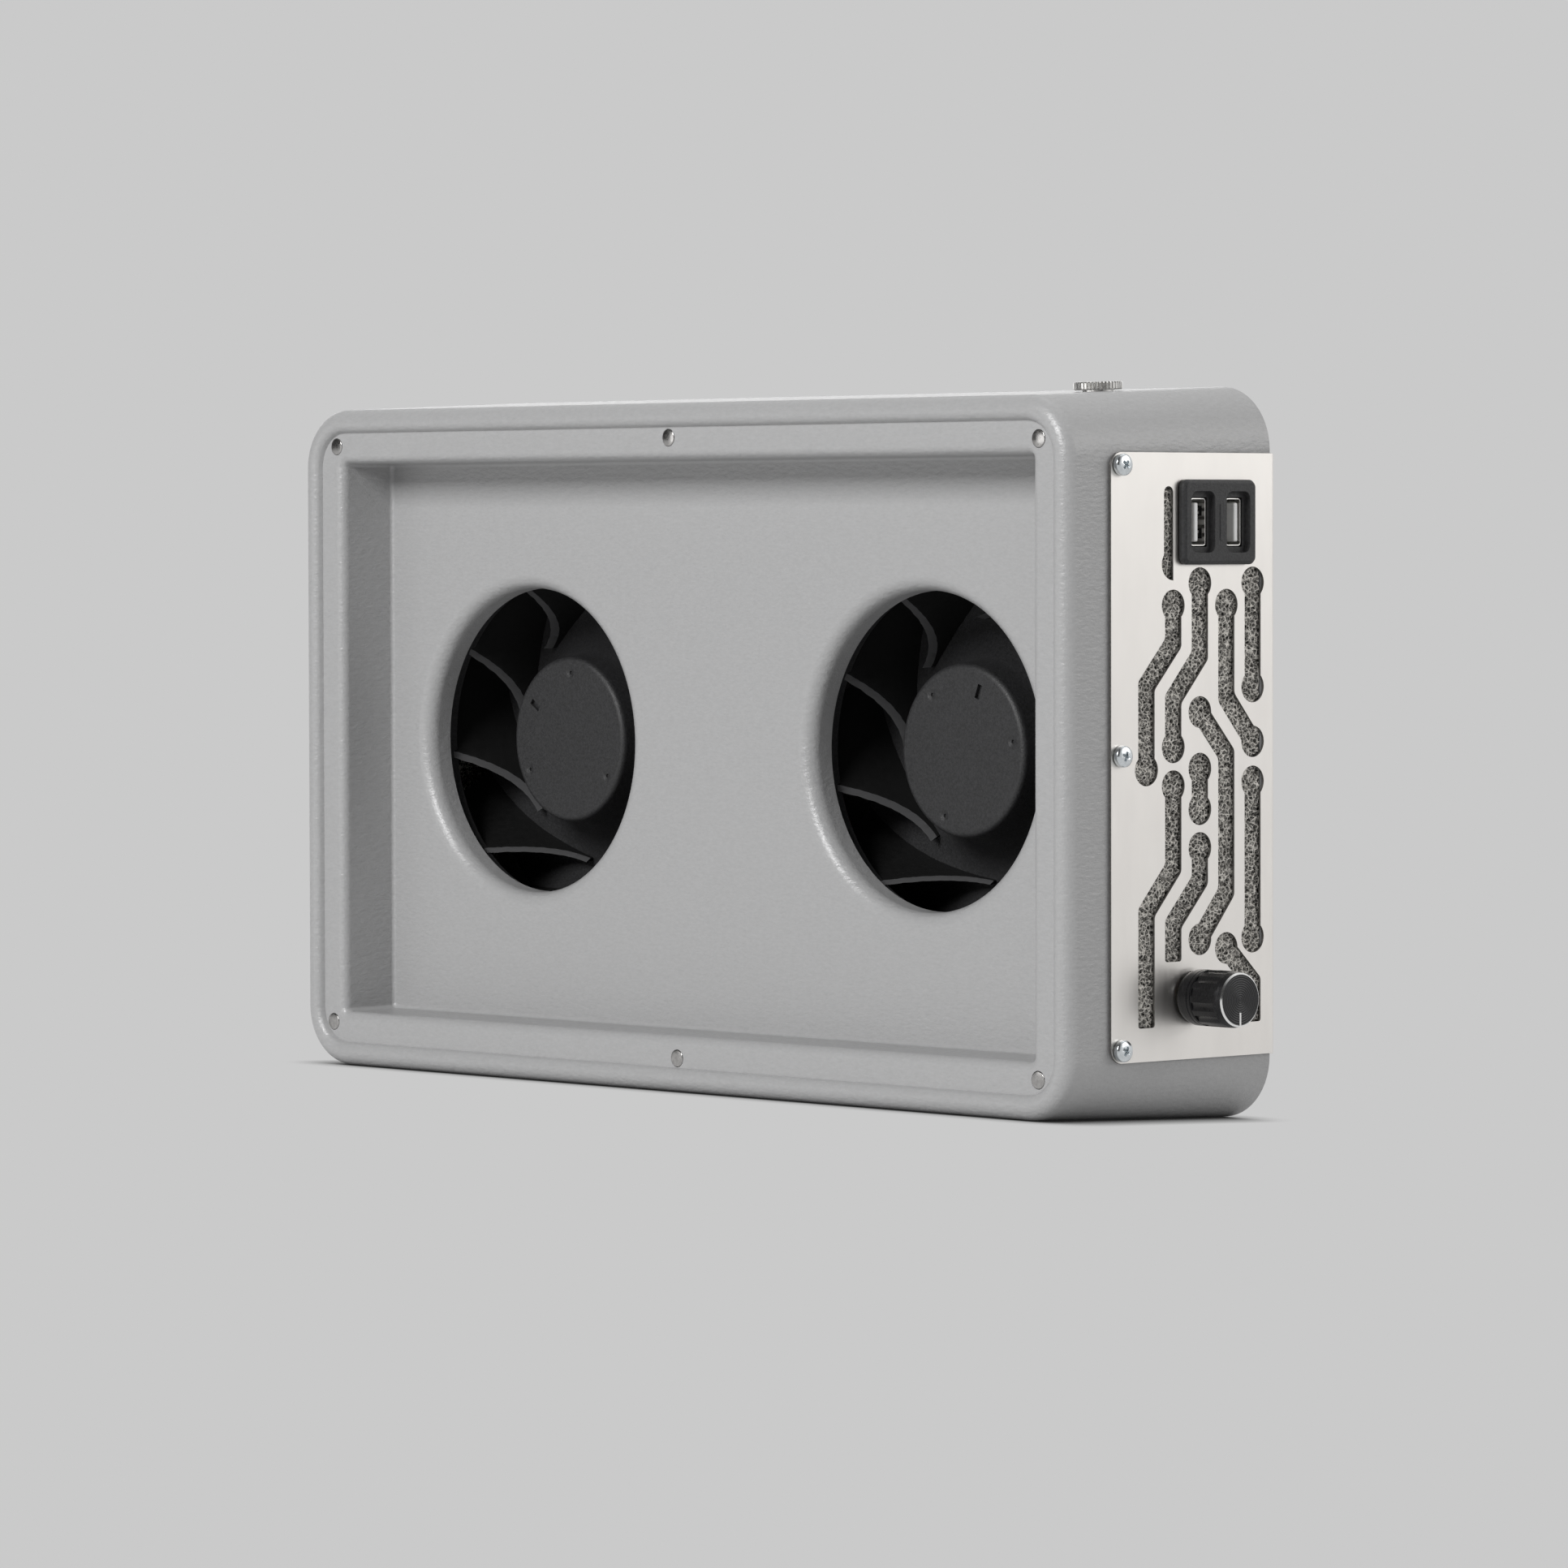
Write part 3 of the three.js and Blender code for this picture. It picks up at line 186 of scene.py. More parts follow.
class FanSizes(bpy.types.PropertyGroup):
    """Sizes of an impeller."""

    hub: FloatProperty(name="Hub", description="Hub radius", default=24.8 * MM, unit="LENGTH")
    hub_set_back: FloatProperty(name="Hub set-back", description="Recess floor to hub face",
                                default=16.6 * MM, unit="LENGTH")
    base_set_back: FloatProperty(name="Base set-back", description="Recess floor to base disc",
                                 default=36 * MM, unit="LENGTH")
    base_start: FloatProperty(name="Flare", description="Radius where the flare meets the base disc",
                              default=38.5 * MM, unit="LENGTH")
    rim: FloatProperty(name="Rim", description="Impeller radius", default=60 * MM, unit="LENGTH")
    eye: FloatProperty(name="Eye", description="Inlet radius of the front ring", default=47.2 * MM,
                       unit="LENGTH")
    blades: IntProperty(name="Blades", description="Number of blades", default=9, min=3)
    wrap: FloatProperty(name="Wrap", description="Angle a blade trails", default=math.radians(63),
                        unit="ROTATION")
    lean: FloatProperty(name="Lean", description="Angle a blade leans from base to front ring",
                        default=math.radians(15), unit="ROTATION")
    blade: FloatProperty(name="Blade", description="Blade thickness", default=0.95 * MM, unit="LENGTH")


class ControlSizes(bpy.types.PropertyGroup):
    """Sizes of the screws, the charging socket, the knob and the power inlet."""

    screw_head: FloatProperty(name="Screw head", description="Pan head radius", default=3 * MM,
                              unit="LENGTH")
    socket_w: FloatProperty(name="Socket width", description="Charging bezel width", default=28.3 * MM,
                            unit="LENGTH")
    socket_h: FloatProperty(name="Socket height", description="Charging bezel height",
                            default=23.4 * MM, unit="LENGTH")
    socket_face: FloatProperty(name="Socket face", description="Bezel thickness", default=2.5 * MM,
                               unit="LENGTH")
    port_pitch: FloatProperty(name="Port pitch", description="Distance between ports",
                              default=13.6 * MM, unit="LENGTH")
    knob: FloatProperty(name="Knob", description="Knob radius", default=7.5 * MM, unit="LENGTH")
    knob_top: FloatProperty(name="Knob height", description="Knob face above the flange",
                            default=18.2 * MM, unit="LENGTH")
    flutes: IntProperty(name="Flutes", description="Grooves round the knob", default=12, min=3)
    teeth: IntProperty(name="Teeth", description="Teeth of the knurled ring", default=40, min=8)


class Finishes(bpy.types.PropertyGroup):
    """Colours of the finishes."""

    shell: FloatVectorProperty(name="Shell", description="Moulded grey", subtype="COLOR",
                               default=(0.37, 0.37, 0.372), min=0, max=1)
    steel: FloatVectorProperty(name="Steel", description="Brushed stainless", subtype="COLOR",
                               default=(0.80, 0.775, 0.745), min=0, max=1)
    black: FloatVectorProperty(name="Black", description="Moulded black", subtype="COLOR",
                               default=(0.022, 0.022, 0.023), min=0, max=1)
    foam: FloatVectorProperty(name="Foam", description="Foam struts", subtype="COLOR",
                              default=(0.66, 0.635, 0.59), min=0, max=1)
    backdrop: FloatVectorProperty(name="Backdrop", description="Backdrop and floor", subtype="COLOR",
                                  default=(0.5906, 0.5906, 0.5906), min=0, max=1)


# ------------------------------------------------------------------ hand tools


def to_object_mode():
    """Leaves edit mode and drops the selection."""
    active = bpy.context.view_layer.objects.active
    if active is not None and active.mode != "OBJECT":
        bpy.ops.object.mode_set(mode="OBJECT")
    bpy.ops.object.select_all(action="DESELECT")


def take(piece):
    """Makes one piece the only selected and active one."""
    to_object_mode()
    piece.select_set(True)
    bpy.context.view_layer.objects.active = piece


def edit(piece, mode="FACE", everything=False):
    """Opens a piece in edit mode with nothing selected, or everything."""
    take(piece)
    bpy.ops.object.mode_set(mode="EDIT")
    bpy.ops.mesh.select_mode(type=mode)
    bpy.ops.mesh.select_all(action="SELECT" if everything else "DESELECT")


def choose(piece, mode, test):
    """Opens a piece in edit mode with those vertices, edges or faces selected that pass the test."""
    edit(piece, mode)
    bpy.ops.object.mode_set(mode="OBJECT")
    mesh = piece.data
    if mode == "VERT":
        for vertex in mesh.vertices:
            vertex.select = test(vertex.co)
    elif mode == "EDGE":
        for e in mesh.edges:
            a, b = (mesh.vertices[i].co for i in e.vertices)
            e.select = test(a, b)
    else:
        for polygon in mesh.polygons:
            polygon.select = test(polygon.center, polygon.normal)
    bpy.ops.object.mode_set(mode="EDIT")


def rectangle(width, height, y=0.0):
    """A flat face that looks along -Y."""
    to_object_mode()
    bpy.ops.mesh.primitive_plane_add(size=1, location=(0, y, 0), rotation=(math.pi / 2, 0, 0))
    piece = bpy.context.object
    piece.scale = (width, height, 1)
    bpy.ops.object.transform_apply(location=True, rotation=True, scale=True)
    return piece


def block(x0, x1, y0, y1, z0, z1):
    """A box between two corners."""
    to_object_mode()
    bpy.ops.mesh.primitive_cube_add(size=1, location=((x0 + x1) / 2, (y0 + y1) / 2, (z0 + z1) / 2))
    piece = bpy.context.object
    piece.scale = (x1 - x0, y1 - y0, z1 - z0)
    bpy.ops.object.transform_apply(location=True, rotation=True, scale=True)
    return piece


def post(radius, y0, y1, x=0.0, z=0.0, sides=48):
    """A round bar along Y."""
    to_object_mode()
    bpy.ops.mesh.primitive_cylinder_add(vertices=sides, radius=radius, depth=y1 - y0,
                                        location=(x, (y0 + y1) / 2, z), rotation=(math.pi / 2, 0, 0))
    piece = bpy.context.object
    bpy.ops.object.transform_apply(location=True, rotation=True, scale=True)
    return piece


def turned(points, steps=96):
    """Turns a profile of (radius, y) points once round the Y axis."""
    to_object_mode()
    bpy.ops.mesh.primitive_plane_add(size=1 * MM)
    piece = bpy.context.object
    edit(piece, "VERT", everything=True)
    bpy.ops.mesh.merge(type="CENTER")
    bpy.ops.mesh.select_all(action="SELECT")
    bpy.ops.transform.translate(value=(points[0][0], points[0][1], 0))
    for (r0, y0), (r1, y1) in zip(points, points[1:]):
        bpy.ops.mesh.extrude_vertices_move(TRANSFORM_OT_translate={"value": (r1 - r0, y1 - y0, 0)})
    bpy.ops.mesh.select_all(action="SELECT")
    bpy.ops.mesh.spin(steps=steps, angle=2 * math.pi, center=(0, 0, 0), axis=(0, 1, 0))
    bpy.ops.mesh.select_all(action="SELECT")
    bpy.ops.mesh.remove_doubles(threshold=WELD / 4)
    bpy.ops.mesh.normals_make_consistent(inside=False)
    to_object_mode()
    return piece


def arc(centre, radius, start, end, steps):
    """Points of an arc round (r, y), with angles in degrees from the r direction towards +y."""
    r, y = centre
    spread = [math.radians(start + (end - start) * i / steps) for i in range(steps + 1)]
    return [(r + radius * math.cos(a), y + radius * math.sin(a)) for a in spread]


def apply_modifier(piece, kind, **values):
    """Adds one modifier with these values and applies it."""
    take(piece)
    modifier = piece.modifiers.new(kind.lower(), kind)
    for key, value in values.items():
        setattr(modifier, key, value)
    bpy.ops.object.modifier_apply(modifier=modifier.name)


def carve(piece, *cutters, operation="DIFFERENCE"):
    """Cuts a piece with others, or keeps what is inside them, and throws the cutters away."""
    for cutter in cutters:
        apply_modifier(piece, "BOOLEAN", object=cutter, operation=operation, solver="EXACT")
        bpy.data.objects.remove(cutter, do_unlink=True)
    return piece


def joined(pieces):
    """Makes one object of several."""
    to_object_mode()
    for piece in pieces:
        piece.select_set(True)
    bpy.context.view_layer.objects.active = pieces[0]
    bpy.ops.object.join()
    to_object_mode()
    return pieces[0]


def copied(piece, place=None):
    """A copy with its own mesh, moved to its place."""
    twin = piece.copy()
    twin.data = piece.data.copy()
    bpy.context.scene.collection.objects.link(twin)
    if place is not None:
        moved(twin, place)
    return twin


def moved(piece, place):
    """Moves a piece and leaves its object at the origin."""
    take(piece)
    piece.matrix_world = place @ piece.matrix_world
    bpy.ops.object.transform_apply(location=True, rotation=True, scale=True)
    to_object_mode()
    return piece


def soften(piece, width, segments=2, angle=40):
    """Rounds the sharp edges of a piece."""
    apply_modifier(piece, "BEVEL", width=width, segments=segments, limit_method="ANGLE",
                   angle_limit=math.radians(angle), use_clamp_overlap=True)
    return piece


def hand_over(piece, name, body, finishes, nodes, angle=35, flat_first=True):
    """Names and shades a finished piece, gives it its finishes, hangs it on the empty of the body it rides
    on and hides the frame parts it stands for.
    """
    take(piece)
    bpy.ops.object.shade_smooth_by_angle(angle=math.radians(angle))
    if flat_first:
        apply_modifier(piece, "WEIGHTED_NORMAL", keep_sharp=True, weight=80)
    to_object_mode()
    piece.name = name
    piece.data.name = name
    keep = [polygon.material_index for polygon in piece.data.polygons]
    piece.data.materials.clear()
    for look in finishes:
        piece.data.materials.append(look)
    for polygon, index in zip(piece.data.polygons, keep):
        polygon.material_index = min(index, len(finishes) - 1)
    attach(piece, body)
    if nodes:
        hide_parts(*nodes)
    return piece


# ------------------------------------------------------------------ finishes


class Finish:
    """A node material in the making, with its pattern in the piece's own metres."""

    def __init__(self, name, colour, roughness, metallic=0.0, **sockets):
        self.material = bpy.data.materials.new(name)
        self.material.use_nodes = True
        self.nodes = self.material.node_tree.nodes
        self.links = self.material.node_tree.links
        self.shader = self.nodes["Principled BSDF"]
        self.shader.inputs["Base Color"].default_value = (*colour, 1)
        self.shader.inputs["Roughness"].default_value = roughness
        self.shader.inputs["Metallic"].default_value = metallic
        for key, value in sockets.items():
            self.shader.inputs[key.replace("_", " ")].default_value = value
        self.material.diffuse_color = (*colour, 1)
        self.colour = colour
        self.coordinates = self.nodes.new("ShaderNodeTexCoord")
        self.height = None

    def stretched(self, scale, rotation=(0, 0, 0)):
        """Object coordinates, scaled along each axis."""
        mapping = self.nodes.new("ShaderNodeMapping")
        mapping.inputs["Scale"].default_value = scale
        mapping.inputs["Rotation"].default_value = rotation
        self.links.new(self.coordinates.outputs["Object"], mapping.inputs["Vector"])
        return mapping.outputs["Vector"]

    def noise(self, grain, stretch=(1, 1, 1), detail=2.0, rough=0.5, rotation=(0, 0, 0)):
        """Noise whose grain is a length, stretched along the axes."""
        node = self.nodes.new("ShaderNodeTexNoise")
        node.inputs["Scale"].default_value = 1.0
        node.inputs["Detail"].default_value = detail
        node.inputs["Roughness"].default_value = rough
        scale = tuple(1 / (grain * k) for k in stretch)
        self.links.new(self.stretched(scale, rotation), node.inputs["Vector"])
        return node.outputs["Fac"]

    def cells(self, size, feature="DISTANCE_TO_EDGE"):
        """Voronoi cells of a given size."""
        node = self.nodes.new("ShaderNodeTexVoronoi")
        node.feature = feature
        node.inputs["Scale"].default_value = 1.0
        self.links.new(self.stretched((1 / size,) * 3), node.inputs["Vector"])
        return node.outputs["Distance"]

    def span(self, value, low, high, to_low, to_high):
        """Maps a value from one range to another."""
        node = self.nodes.new("ShaderNodeMapRange")
        for key, number in (("From Min", low), ("From Max", high), ("To Min", to_low), ("To Max", to_high)):
            node.inputs[key].default_value = number
        self.links.new(value, node.inputs["Value"])
        return node.outputs["Result"]

    def rough(self, value, low, high):
        """Varies the roughness with a pattern."""
        self.links.new(self.span(value, 0.3, 0.7, low, high), self.shader.inputs["Roughness"])
        return self

    def tint(self, value, dark, light, low=0.3, high=0.7):
        """Varies the colour with a pattern, between two shares of the finish's own colour."""
        ramp = self.nodes.new("ShaderNodeValToRGB")
        ramp.color_ramp.elements[0].color = (*(c * dark for c in self.colour), 1)
        ramp.color_ramp.elements[1].color = (*(min(c * light, 1) for c in self.colour), 1)
        self.links.new(self.span(value, low, high, 0, 1), ramp.inputs["Fac"])
        self.links.new(ramp.outputs["Color"], self.shader.inputs["Base Color"])
        return ramp

    def bump(self, value, height, strength=1.0):
        """Adds relief of a given height; later calls add to earlier ones."""
        node = self.nodes.new("ShaderNodeBump")
        node.inputs["Distance"].default_value = height
        node.inputs["Strength"].default_value = strength
        self.links.new(value, node.inputs["Height"])
        if self.height is not None:
            self.links.new(self.height, node.inputs["Normal"])
        self.height = node.outputs["Normal"]
        self.links.new(self.height, self.shader.inputs["Normal"])
        return self


def moulded_grey(look):
    """Vacuum-formed sheet: fine leather grain, slightly pulled along the walls, with a satin sheen."""
    f = Finish("moulded_grey", look.shell, 0.36, Specular_IOR_Level=0.62)
    f.bump(f.noise(1.5 * MM, (1.9, 1.9, 0.8), 3.0, 0.55), 0.24 * MM, 0.9)
    f.bump(f.noise(0.5 * MM, (1, 1, 1), 2.0), 0.08 * MM, 0.8)
    f.bump(f.noise(24 * MM, (1, 1, 1), 1.0), 0.35 * MM, 0.25)
    f.rough(f.noise(1.4 * MM, (1, 1, 1), 2.0), 0.3, 0.4)
    f.tint(f.noise(0.9 * MM, (1.9, 1.9, 0.8), 3.0, 0.6), 0.955, 1.04)
    return f.material


def brushed_steel(look):
    """Stainless sheet, brushed upright."""
    f = Finish("brushed_steel", look.steel, 0.3, 1.0)
    lines = f.noise(0.16 * MM, (1, 1, 260), 3.0, 0.6)
    f.bump(lines, 0.014 * MM, 0.5)
    f.rough(f.noise(0.3 * MM, (1, 1, 60), 1.0), 0.3, 0.36)
    f.tint(f.noise(9 * MM, (1, 1, 3), 4.0), 0.975, 1.02)
    return f.material


def cut_edge(look):
    """Edge of the sheet where it was cut."""
    f = Finish("cut_edge", tuple(c * 0.32 for c in look.steel), 0.45, 1.0)
    f.bump(f.noise(0.12 * MM, (1, 1, 1), 2.0), 0.02 * MM, 0.6)
    f.tint(f.noise(0.7 * MM), 0.75, 1.3)
    return f.material


def zinc_plate(_look):
    """Bright zinc, faintly blue."""
    f = Finish("zinc_plate", (0.70, 0.735, 0.755), 0.16, 1.0)
    f.bump(f.noise(0.5 * MM, (1, 1, 1), 3.0), 0.02 * MM, 0.35)
    f.rough(f.noise(0.9 * MM, (1, 1, 1), 3.0), 0.12, 0.26)
    f.tint(f.noise(1.3 * MM), 0.9, 1.05)
    return f.material


def nickel_plate(_look):
    """Bright nickel with small handling marks."""
    f = Finish("nickel_plate", (0.70, 0.69, 0.67), 0.14, 1.0)
    f.rough(f.noise(0.8 * MM, (1, 1, 1), 3.0), 0.1, 0.22)
    f.bump(f.noise(0.45 * MM, (1, 1, 1), 2.0), 0.01 * MM, 0.3)
    return f.material


def magnet_nickel(_look):
    """Dull nickel on a magnet's face."""
    f = Finish("magnet_nickel", (0.46, 0.45, 0.44), 0.16, 1.0)
    f.rough(f.noise(0.6 * MM, (1, 1, 1), 3.0), 0.12, 0.22)
    f.tint(f.noise(1.2 * MM), 0.85, 1.1)
    f.bump(f.noise(0.3 * MM), 0.008 * MM, 0.3)
    return f.material


def moulded_black(look):
    """Spark-eroded black plastic."""
    f = Finish("moulded_black", look.black, 0.55, Specular_IOR_Level=0.45)
    f.bump(f.noise(0.4 * MM, (1, 1, 1), 2.0, 0.6), 0.12 * MM, 0.9)
    f.rough(f.noise(0.5 * MM, (1, 1, 1), 2.0), 0.42, 0.58)
    f.tint(f.noise(0.7 * MM, (1, 1, 1), 2.0, 0.7), 0.55, 1.4)
    return f.material


def painted_shade_black(_look):
    """Smooth black plastic of the blade faces, painted darker than the hub's black: painted shade where
    little light reaches between the blades.
    """
    f = Finish("painted_shade_black", (0.008, 0.008, 0.008), 0.6, Specular_IOR_Level=0.2)
    f.bump(f.noise(0.4 * MM), 0.05 * MM, 0.5)
    f.rough(f.noise(2 * MM), 0.5, 0.7)
    return f.material


def painted_highlight_black(_look):
    """Black plastic painted lighter along the inlet edges of the blades: a painted highlight."""
    f = Finish("painted_highlight_black", (0.085, 0.085, 0.087), 0.4, Specular_IOR_Level=0.5)
    f.bump(f.noise(0.3 * MM, (1, 1, 1), 2.0), 0.03 * MM, 0.5)
    f.rough(f.noise(0.8 * MM), 0.34, 0.46)
    return f.material


def anodised_black(_look):
    """Black anodised aluminium with turning marks round the knob's axis."""
    f = Finish("anodised_black", (0.007, 0.007, 0.008), 0.26, 0.3, Specular_IOR_Level=0.6)
    f.bump(f.noise(0.14 * MM, (1, 12, 12), 2.0), 0.01 * MM, 0.4)
    f.rough(f.noise(0.7 * MM, (0.3, 3, 3), 2.0), 0.22, 0.38)
    return f.material


def spun_face(_look, centre):
    """The knob's face: fine rings about its axis."""
    f = Finish("spun_face", (0.026, 0.026, 0.027), 0.3, 0.7, Specular_IOR_Level=0.6)
    shift = f.nodes.new("ShaderNodeVectorMath")
    shift.operation = "SUBTRACT"
    shift.inputs[1].default_value = centre
    f.links.new(f.coordinates.outputs["Object"], shift.inputs[0])
    length = f.nodes.new("ShaderNodeVectorMath")
    length.operation = "LENGTH"
    f.links.new(shift.outputs["Vector"], length.inputs[0])
    rings = f.nodes.new("ShaderNodeMath")
    rings.operation = "MULTIPLY"
    rings.inputs[1].default_value = 2 * math.pi / (0.62 * MM)
    f.links.new(length.outputs["Value"], rings.inputs[0])
    wave = f.nodes.new("ShaderNodeMath")
    wave.operation = "SINE"
    f.links.new(rings.outputs["Value"], wave.inputs[0])
    f.bump(wave.outputs["Value"], 0.03 * MM, 1.0)
    f.rough(f.noise(0.5 * MM), 0.24, 0.36)
    return f.material


def bare_aluminium(_look):
    """Diamond-cut aluminium."""
    f = Finish("bare_aluminium", (0.9, 0.9, 0.89), 0.18, 1.0)
    f.rough(f.noise(0.4 * MM), 0.14, 0.24)
    return f.material


def white_paint(_look):
    """White filling of the pointer."""
    f = Finish("white_paint", (0.86, 0.86, 0.85), 0.5)
    f.bump(f.noise(0.2 * MM), 0.01 * MM, 0.5)
    f.tint(f.noise(0.6 * MM), 0.95, 1.05)
    return f.material


def white_plastic(_look):
    """Contact carrier of a port."""
    f = Finish("white_plastic", (0.88, 0.88, 0.87), 0.35)
    f.bump(f.noise(0.4 * MM), 0.01 * MM, 0.4)
    f.tint(f.noise(3 * MM), 0.95, 1.04)
    return f.material


def foam_painted_pore_shade(look):
    """Reticulated foam: thin pale struts over pores painted near black, painted shade in the pores; a deeper
    layer of struts is painted dimmer and the colour darkens further where a pore is deep, both painted
    shade. The pore attribute is 1 where a pore is deep.
    """
    f = Finish("foam_painted_pore_shade", look.foam, 0.8, Specular_IOR_Level=0.3)
    pore = f.nodes.new("ShaderNodeAttribute")
    pore.attribute_name = "pore"
    near = f.span(f.cells(1.3 * MM), 0.05, 0.17, 1.0, 0.0)
    # The second, deeper layer of struts is painted at most 0.4 as bright: painted shade.
    deep = f.span(f.cells(0.8 * MM), 0.04, 0.2, 0.4, 0.0)
    strut = f.nodes.new("ShaderNodeMath")
    strut.operation = "MAXIMUM"
    f.links.new(near, strut.inputs[0])
    f.links.new(deep, strut.inputs[1])
    # Where a pore is deep the colour drops to 0.3: painted shade in the pore.
    shade = f.nodes.new("ShaderNodeMath")
    shade.operation = "MULTIPLY"
    f.links.new(strut.outputs["Value"], shade.inputs[0])
    f.links.new(f.span(pore.outputs["Fac"], 0.1, 1.0, 1.0, 0.3), shade.inputs[1])
    # Between the struts the colour falls to 0.02 of the foam's own: pores painted dark as shade.
    f.tint(shade.outputs["Value"], 0.02, 1.3, 0.0, 1.0)
    f.bump(strut.outputs["Value"], 0.2 * MM, 0.8)
    return f.material


def copper_wire(_look):
    """Enamelled winding."""
    f = Finish("copper_wire", (0.45, 0.17, 0.07), 0.35, 0.9)
    f.bump(f.noise(0.5 * MM, (1, 0.3, 1)), 0.1 * MM, 0.8)
    f.rough(f.noise(2 * MM), 0.28, 0.45)
    return f.material


def pressed_ferrite(_look):
    """Ferrite ring."""
    f = Finish("pressed_ferrite", (0.045, 0.045, 0.048), 0.7, 0.2)
    f.bump(f.noise(0.4 * MM), 0.05 * MM, 0.7)
    f.tint(f.noise(2 * MM), 0.8, 1.2)
    return f.material


def solder_mask(_look):
    """Green circuit board."""
    f = Finish("solder_mask", (0.012, 0.1, 0.04), 0.35)
    f.bump(f.cells(2.5 * MM), 0.02 * MM, 0.4)
    f.tint(f.noise(3 * MM), 0.8, 1.25)
    return f.material


def turned_brass(_look):
    """Turned brass."""
    f = Finish("turned_brass", (0.62, 0.44, 0.17), 0.25, 1.0)
    f.bump(f.noise(0.2 * MM, (1, 8, 8)), 0.01 * MM, 0.5)
    f.rough(f.noise(0.8 * MM), 0.18, 0.32)
    return f.material


def glowing_floor_painted_shadow(look):
    """Pale floor that glows evenly at the backdrop's colour everywhere, a little more for the light it
    throws onto the object than for the camera, a painted stand-in for a lit floor; its glow is dimmed where
    the object comes close to it, a painted contact shadow.
    """
    f = Finish("glowing_floor_painted_shadow", look.backdrop, 0.9, Specular_IOR_Level=0.0)
    # Ambient occlusion darkens the glow to near black close to the object: a painted contact shadow.
    near = f.nodes.new("ShaderNodeAmbientOcclusion")
    near.inputs["Distance"].default_value = 16 * MM
    ramp = f.nodes.new("ShaderNodeValToRGB")
    ramp.color_ramp.elements[0].position = 0.06
    ramp.color_ramp.elements[0].color = (0.01, 0.01, 0.01, 1)
    ramp.color_ramp.elements[1].position = 0.9
    ramp.color_ramp.elements[1].color = (*look.backdrop, 1)
    f.links.new(near.outputs["AO"], ramp.inputs["Fac"])
    f.links.new(ramp.outputs["Color"], f.shader.inputs["Emission Color"])
    # The floor glows 1.1 for rays that light the object and 1.0 for the camera: painted bounce light from a
    # floor that is no lamp.
    path = f.nodes.new("ShaderNodeLightPath")
    glow = f.span(path.outputs["Is Camera Ray"], 0, 1, 1.1, 1.0)
    f.links.new(glow, f.shader.inputs["Emission Strength"])
    f.shader.inputs["Base Color"].default_value = (0, 0, 0, 1)
    return f.material


FINISH = {}


def finish(name):
    """A finish by name, made once."""
    makers = {
        "grey_plastic": moulded_grey, "brushed_steel": brushed_steel, "cut_edge": cut_edge,
        "zinc": zinc_plate, "nickel": nickel_plate, "magnet": magnet_nickel,
        "black_plastic": moulded_black, "painted_highlight_black": painted_highlight_black,
        "painted_shade_black": painted_shade_black, "black_anodised": anodised_black,
        "bare_aluminium": bare_aluminium, "white_paint": white_paint, "white_plastic": white_plastic,
        "foam": foam_painted_pore_shade, "copper": copper_wire, "ferrite": pressed_ferrite,
        "circuit_board": solder_mask, "brass": turned_brass, "floor": glowing_floor_painted_shadow,
    }
    if name not in FINISH:
        FINISH[name] = makers[name](bpy.context.scene.extractor_finishes)
    return FINISH[name]


# ------------------------------------------------------------------ shell


def tray_profile(shell):
    """(inset at the sides, at top and bottom, y) of each ring, from the rear rim to the recess floor."""
    front = DRAFT * (REAR_Y - BEAD_Y)
    crest = front + shell.crest
    points = [(0.0, REAR_Y)]
    points += [(crest - shell.crest * math.cos(math.radians(a)),
                BEAD_Y + shell.crest * (1 - math.sin(math.radians(a)))) for a in range(0, 91, 9)]
    inner = shell.bead - shell.crest
    for i in range(1, 8):
        t = i / 8
        points.append((crest + inner * t, BEAD_Y + BEAD_RISE * (1 - (1 - t * t) ** 0.62)))
    points.append((front + shell.bead, 0.0))
    edge = front + shell.bead + shell.ledge
    turn = shell.ledge_edge
    points += [(edge - turn + turn * math.sin(math.radians(a)), turn * (1 - math.cos(math.radians(a))))
               for a in range(0, 91, 15)]
    rings = [(inset, inset, y) for inset, y in points]
    cove = 1.2 * MM
    turned_in = [(0.0, 0.0)] + [(cove * (1 - math.cos(math.radians(a))), cove * math.sin(math.radians(a)))
                                for a in (30, 60, 90)]
    for inward, deeper in turned_in:
        rings.append((edge + shell.closing + inward, edge + shell.closing_z + inward,
                      shell.recess - cove + deeper))
    return rings


def ringed_tray(shell):
    """Insets a rounded face step by step into the bead, the ledge and the recess."""
    piece = rectangle(2 * HALF_W, 2 * HALF_H, REAR_Y)
    edit(piece, "VERT", everything=True)
    bpy.ops.mesh.bevel(offset=shell.corner, segments=14, affect="VERTICES", clamp_overlap=False)
    bpy.ops.mesh.select_mode(type="FACE")
    bpy.ops.mesh.select_all(action="SELECT")
    rings = tray_profile(shell)
    for (side0, level0, y0), (side1, level1, y1) in zip(rings, rings[1:]):
        if y1 < shell.ledge_edge + WELD and side0 > 0:
            bpy.ops.mesh.inset(thickness=side1 - side0, depth=y0 - y1, use_boundary=True,
                               use_even_offset=True)
            continue
        bpy.ops.mesh.extrude_region_move(TRANSFORM_OT_translate={"value": (0, y1 - y0, 0)})
        narrower = (HALF_W - side1) / (HALF_W - side0)
        lower = (HALF_H - level1) / (HALF_H - level0)
        bpy.ops.transform.resize(value=(narrower, 1, lower), center_override=(0, y1, 0))
    choose(piece, "EDGE", lambda a, b: min(a.y, b.y) > REAR_Y - WELD)
    bpy.ops.mesh.edge_face_add()
    to_object_mode()
    return piece


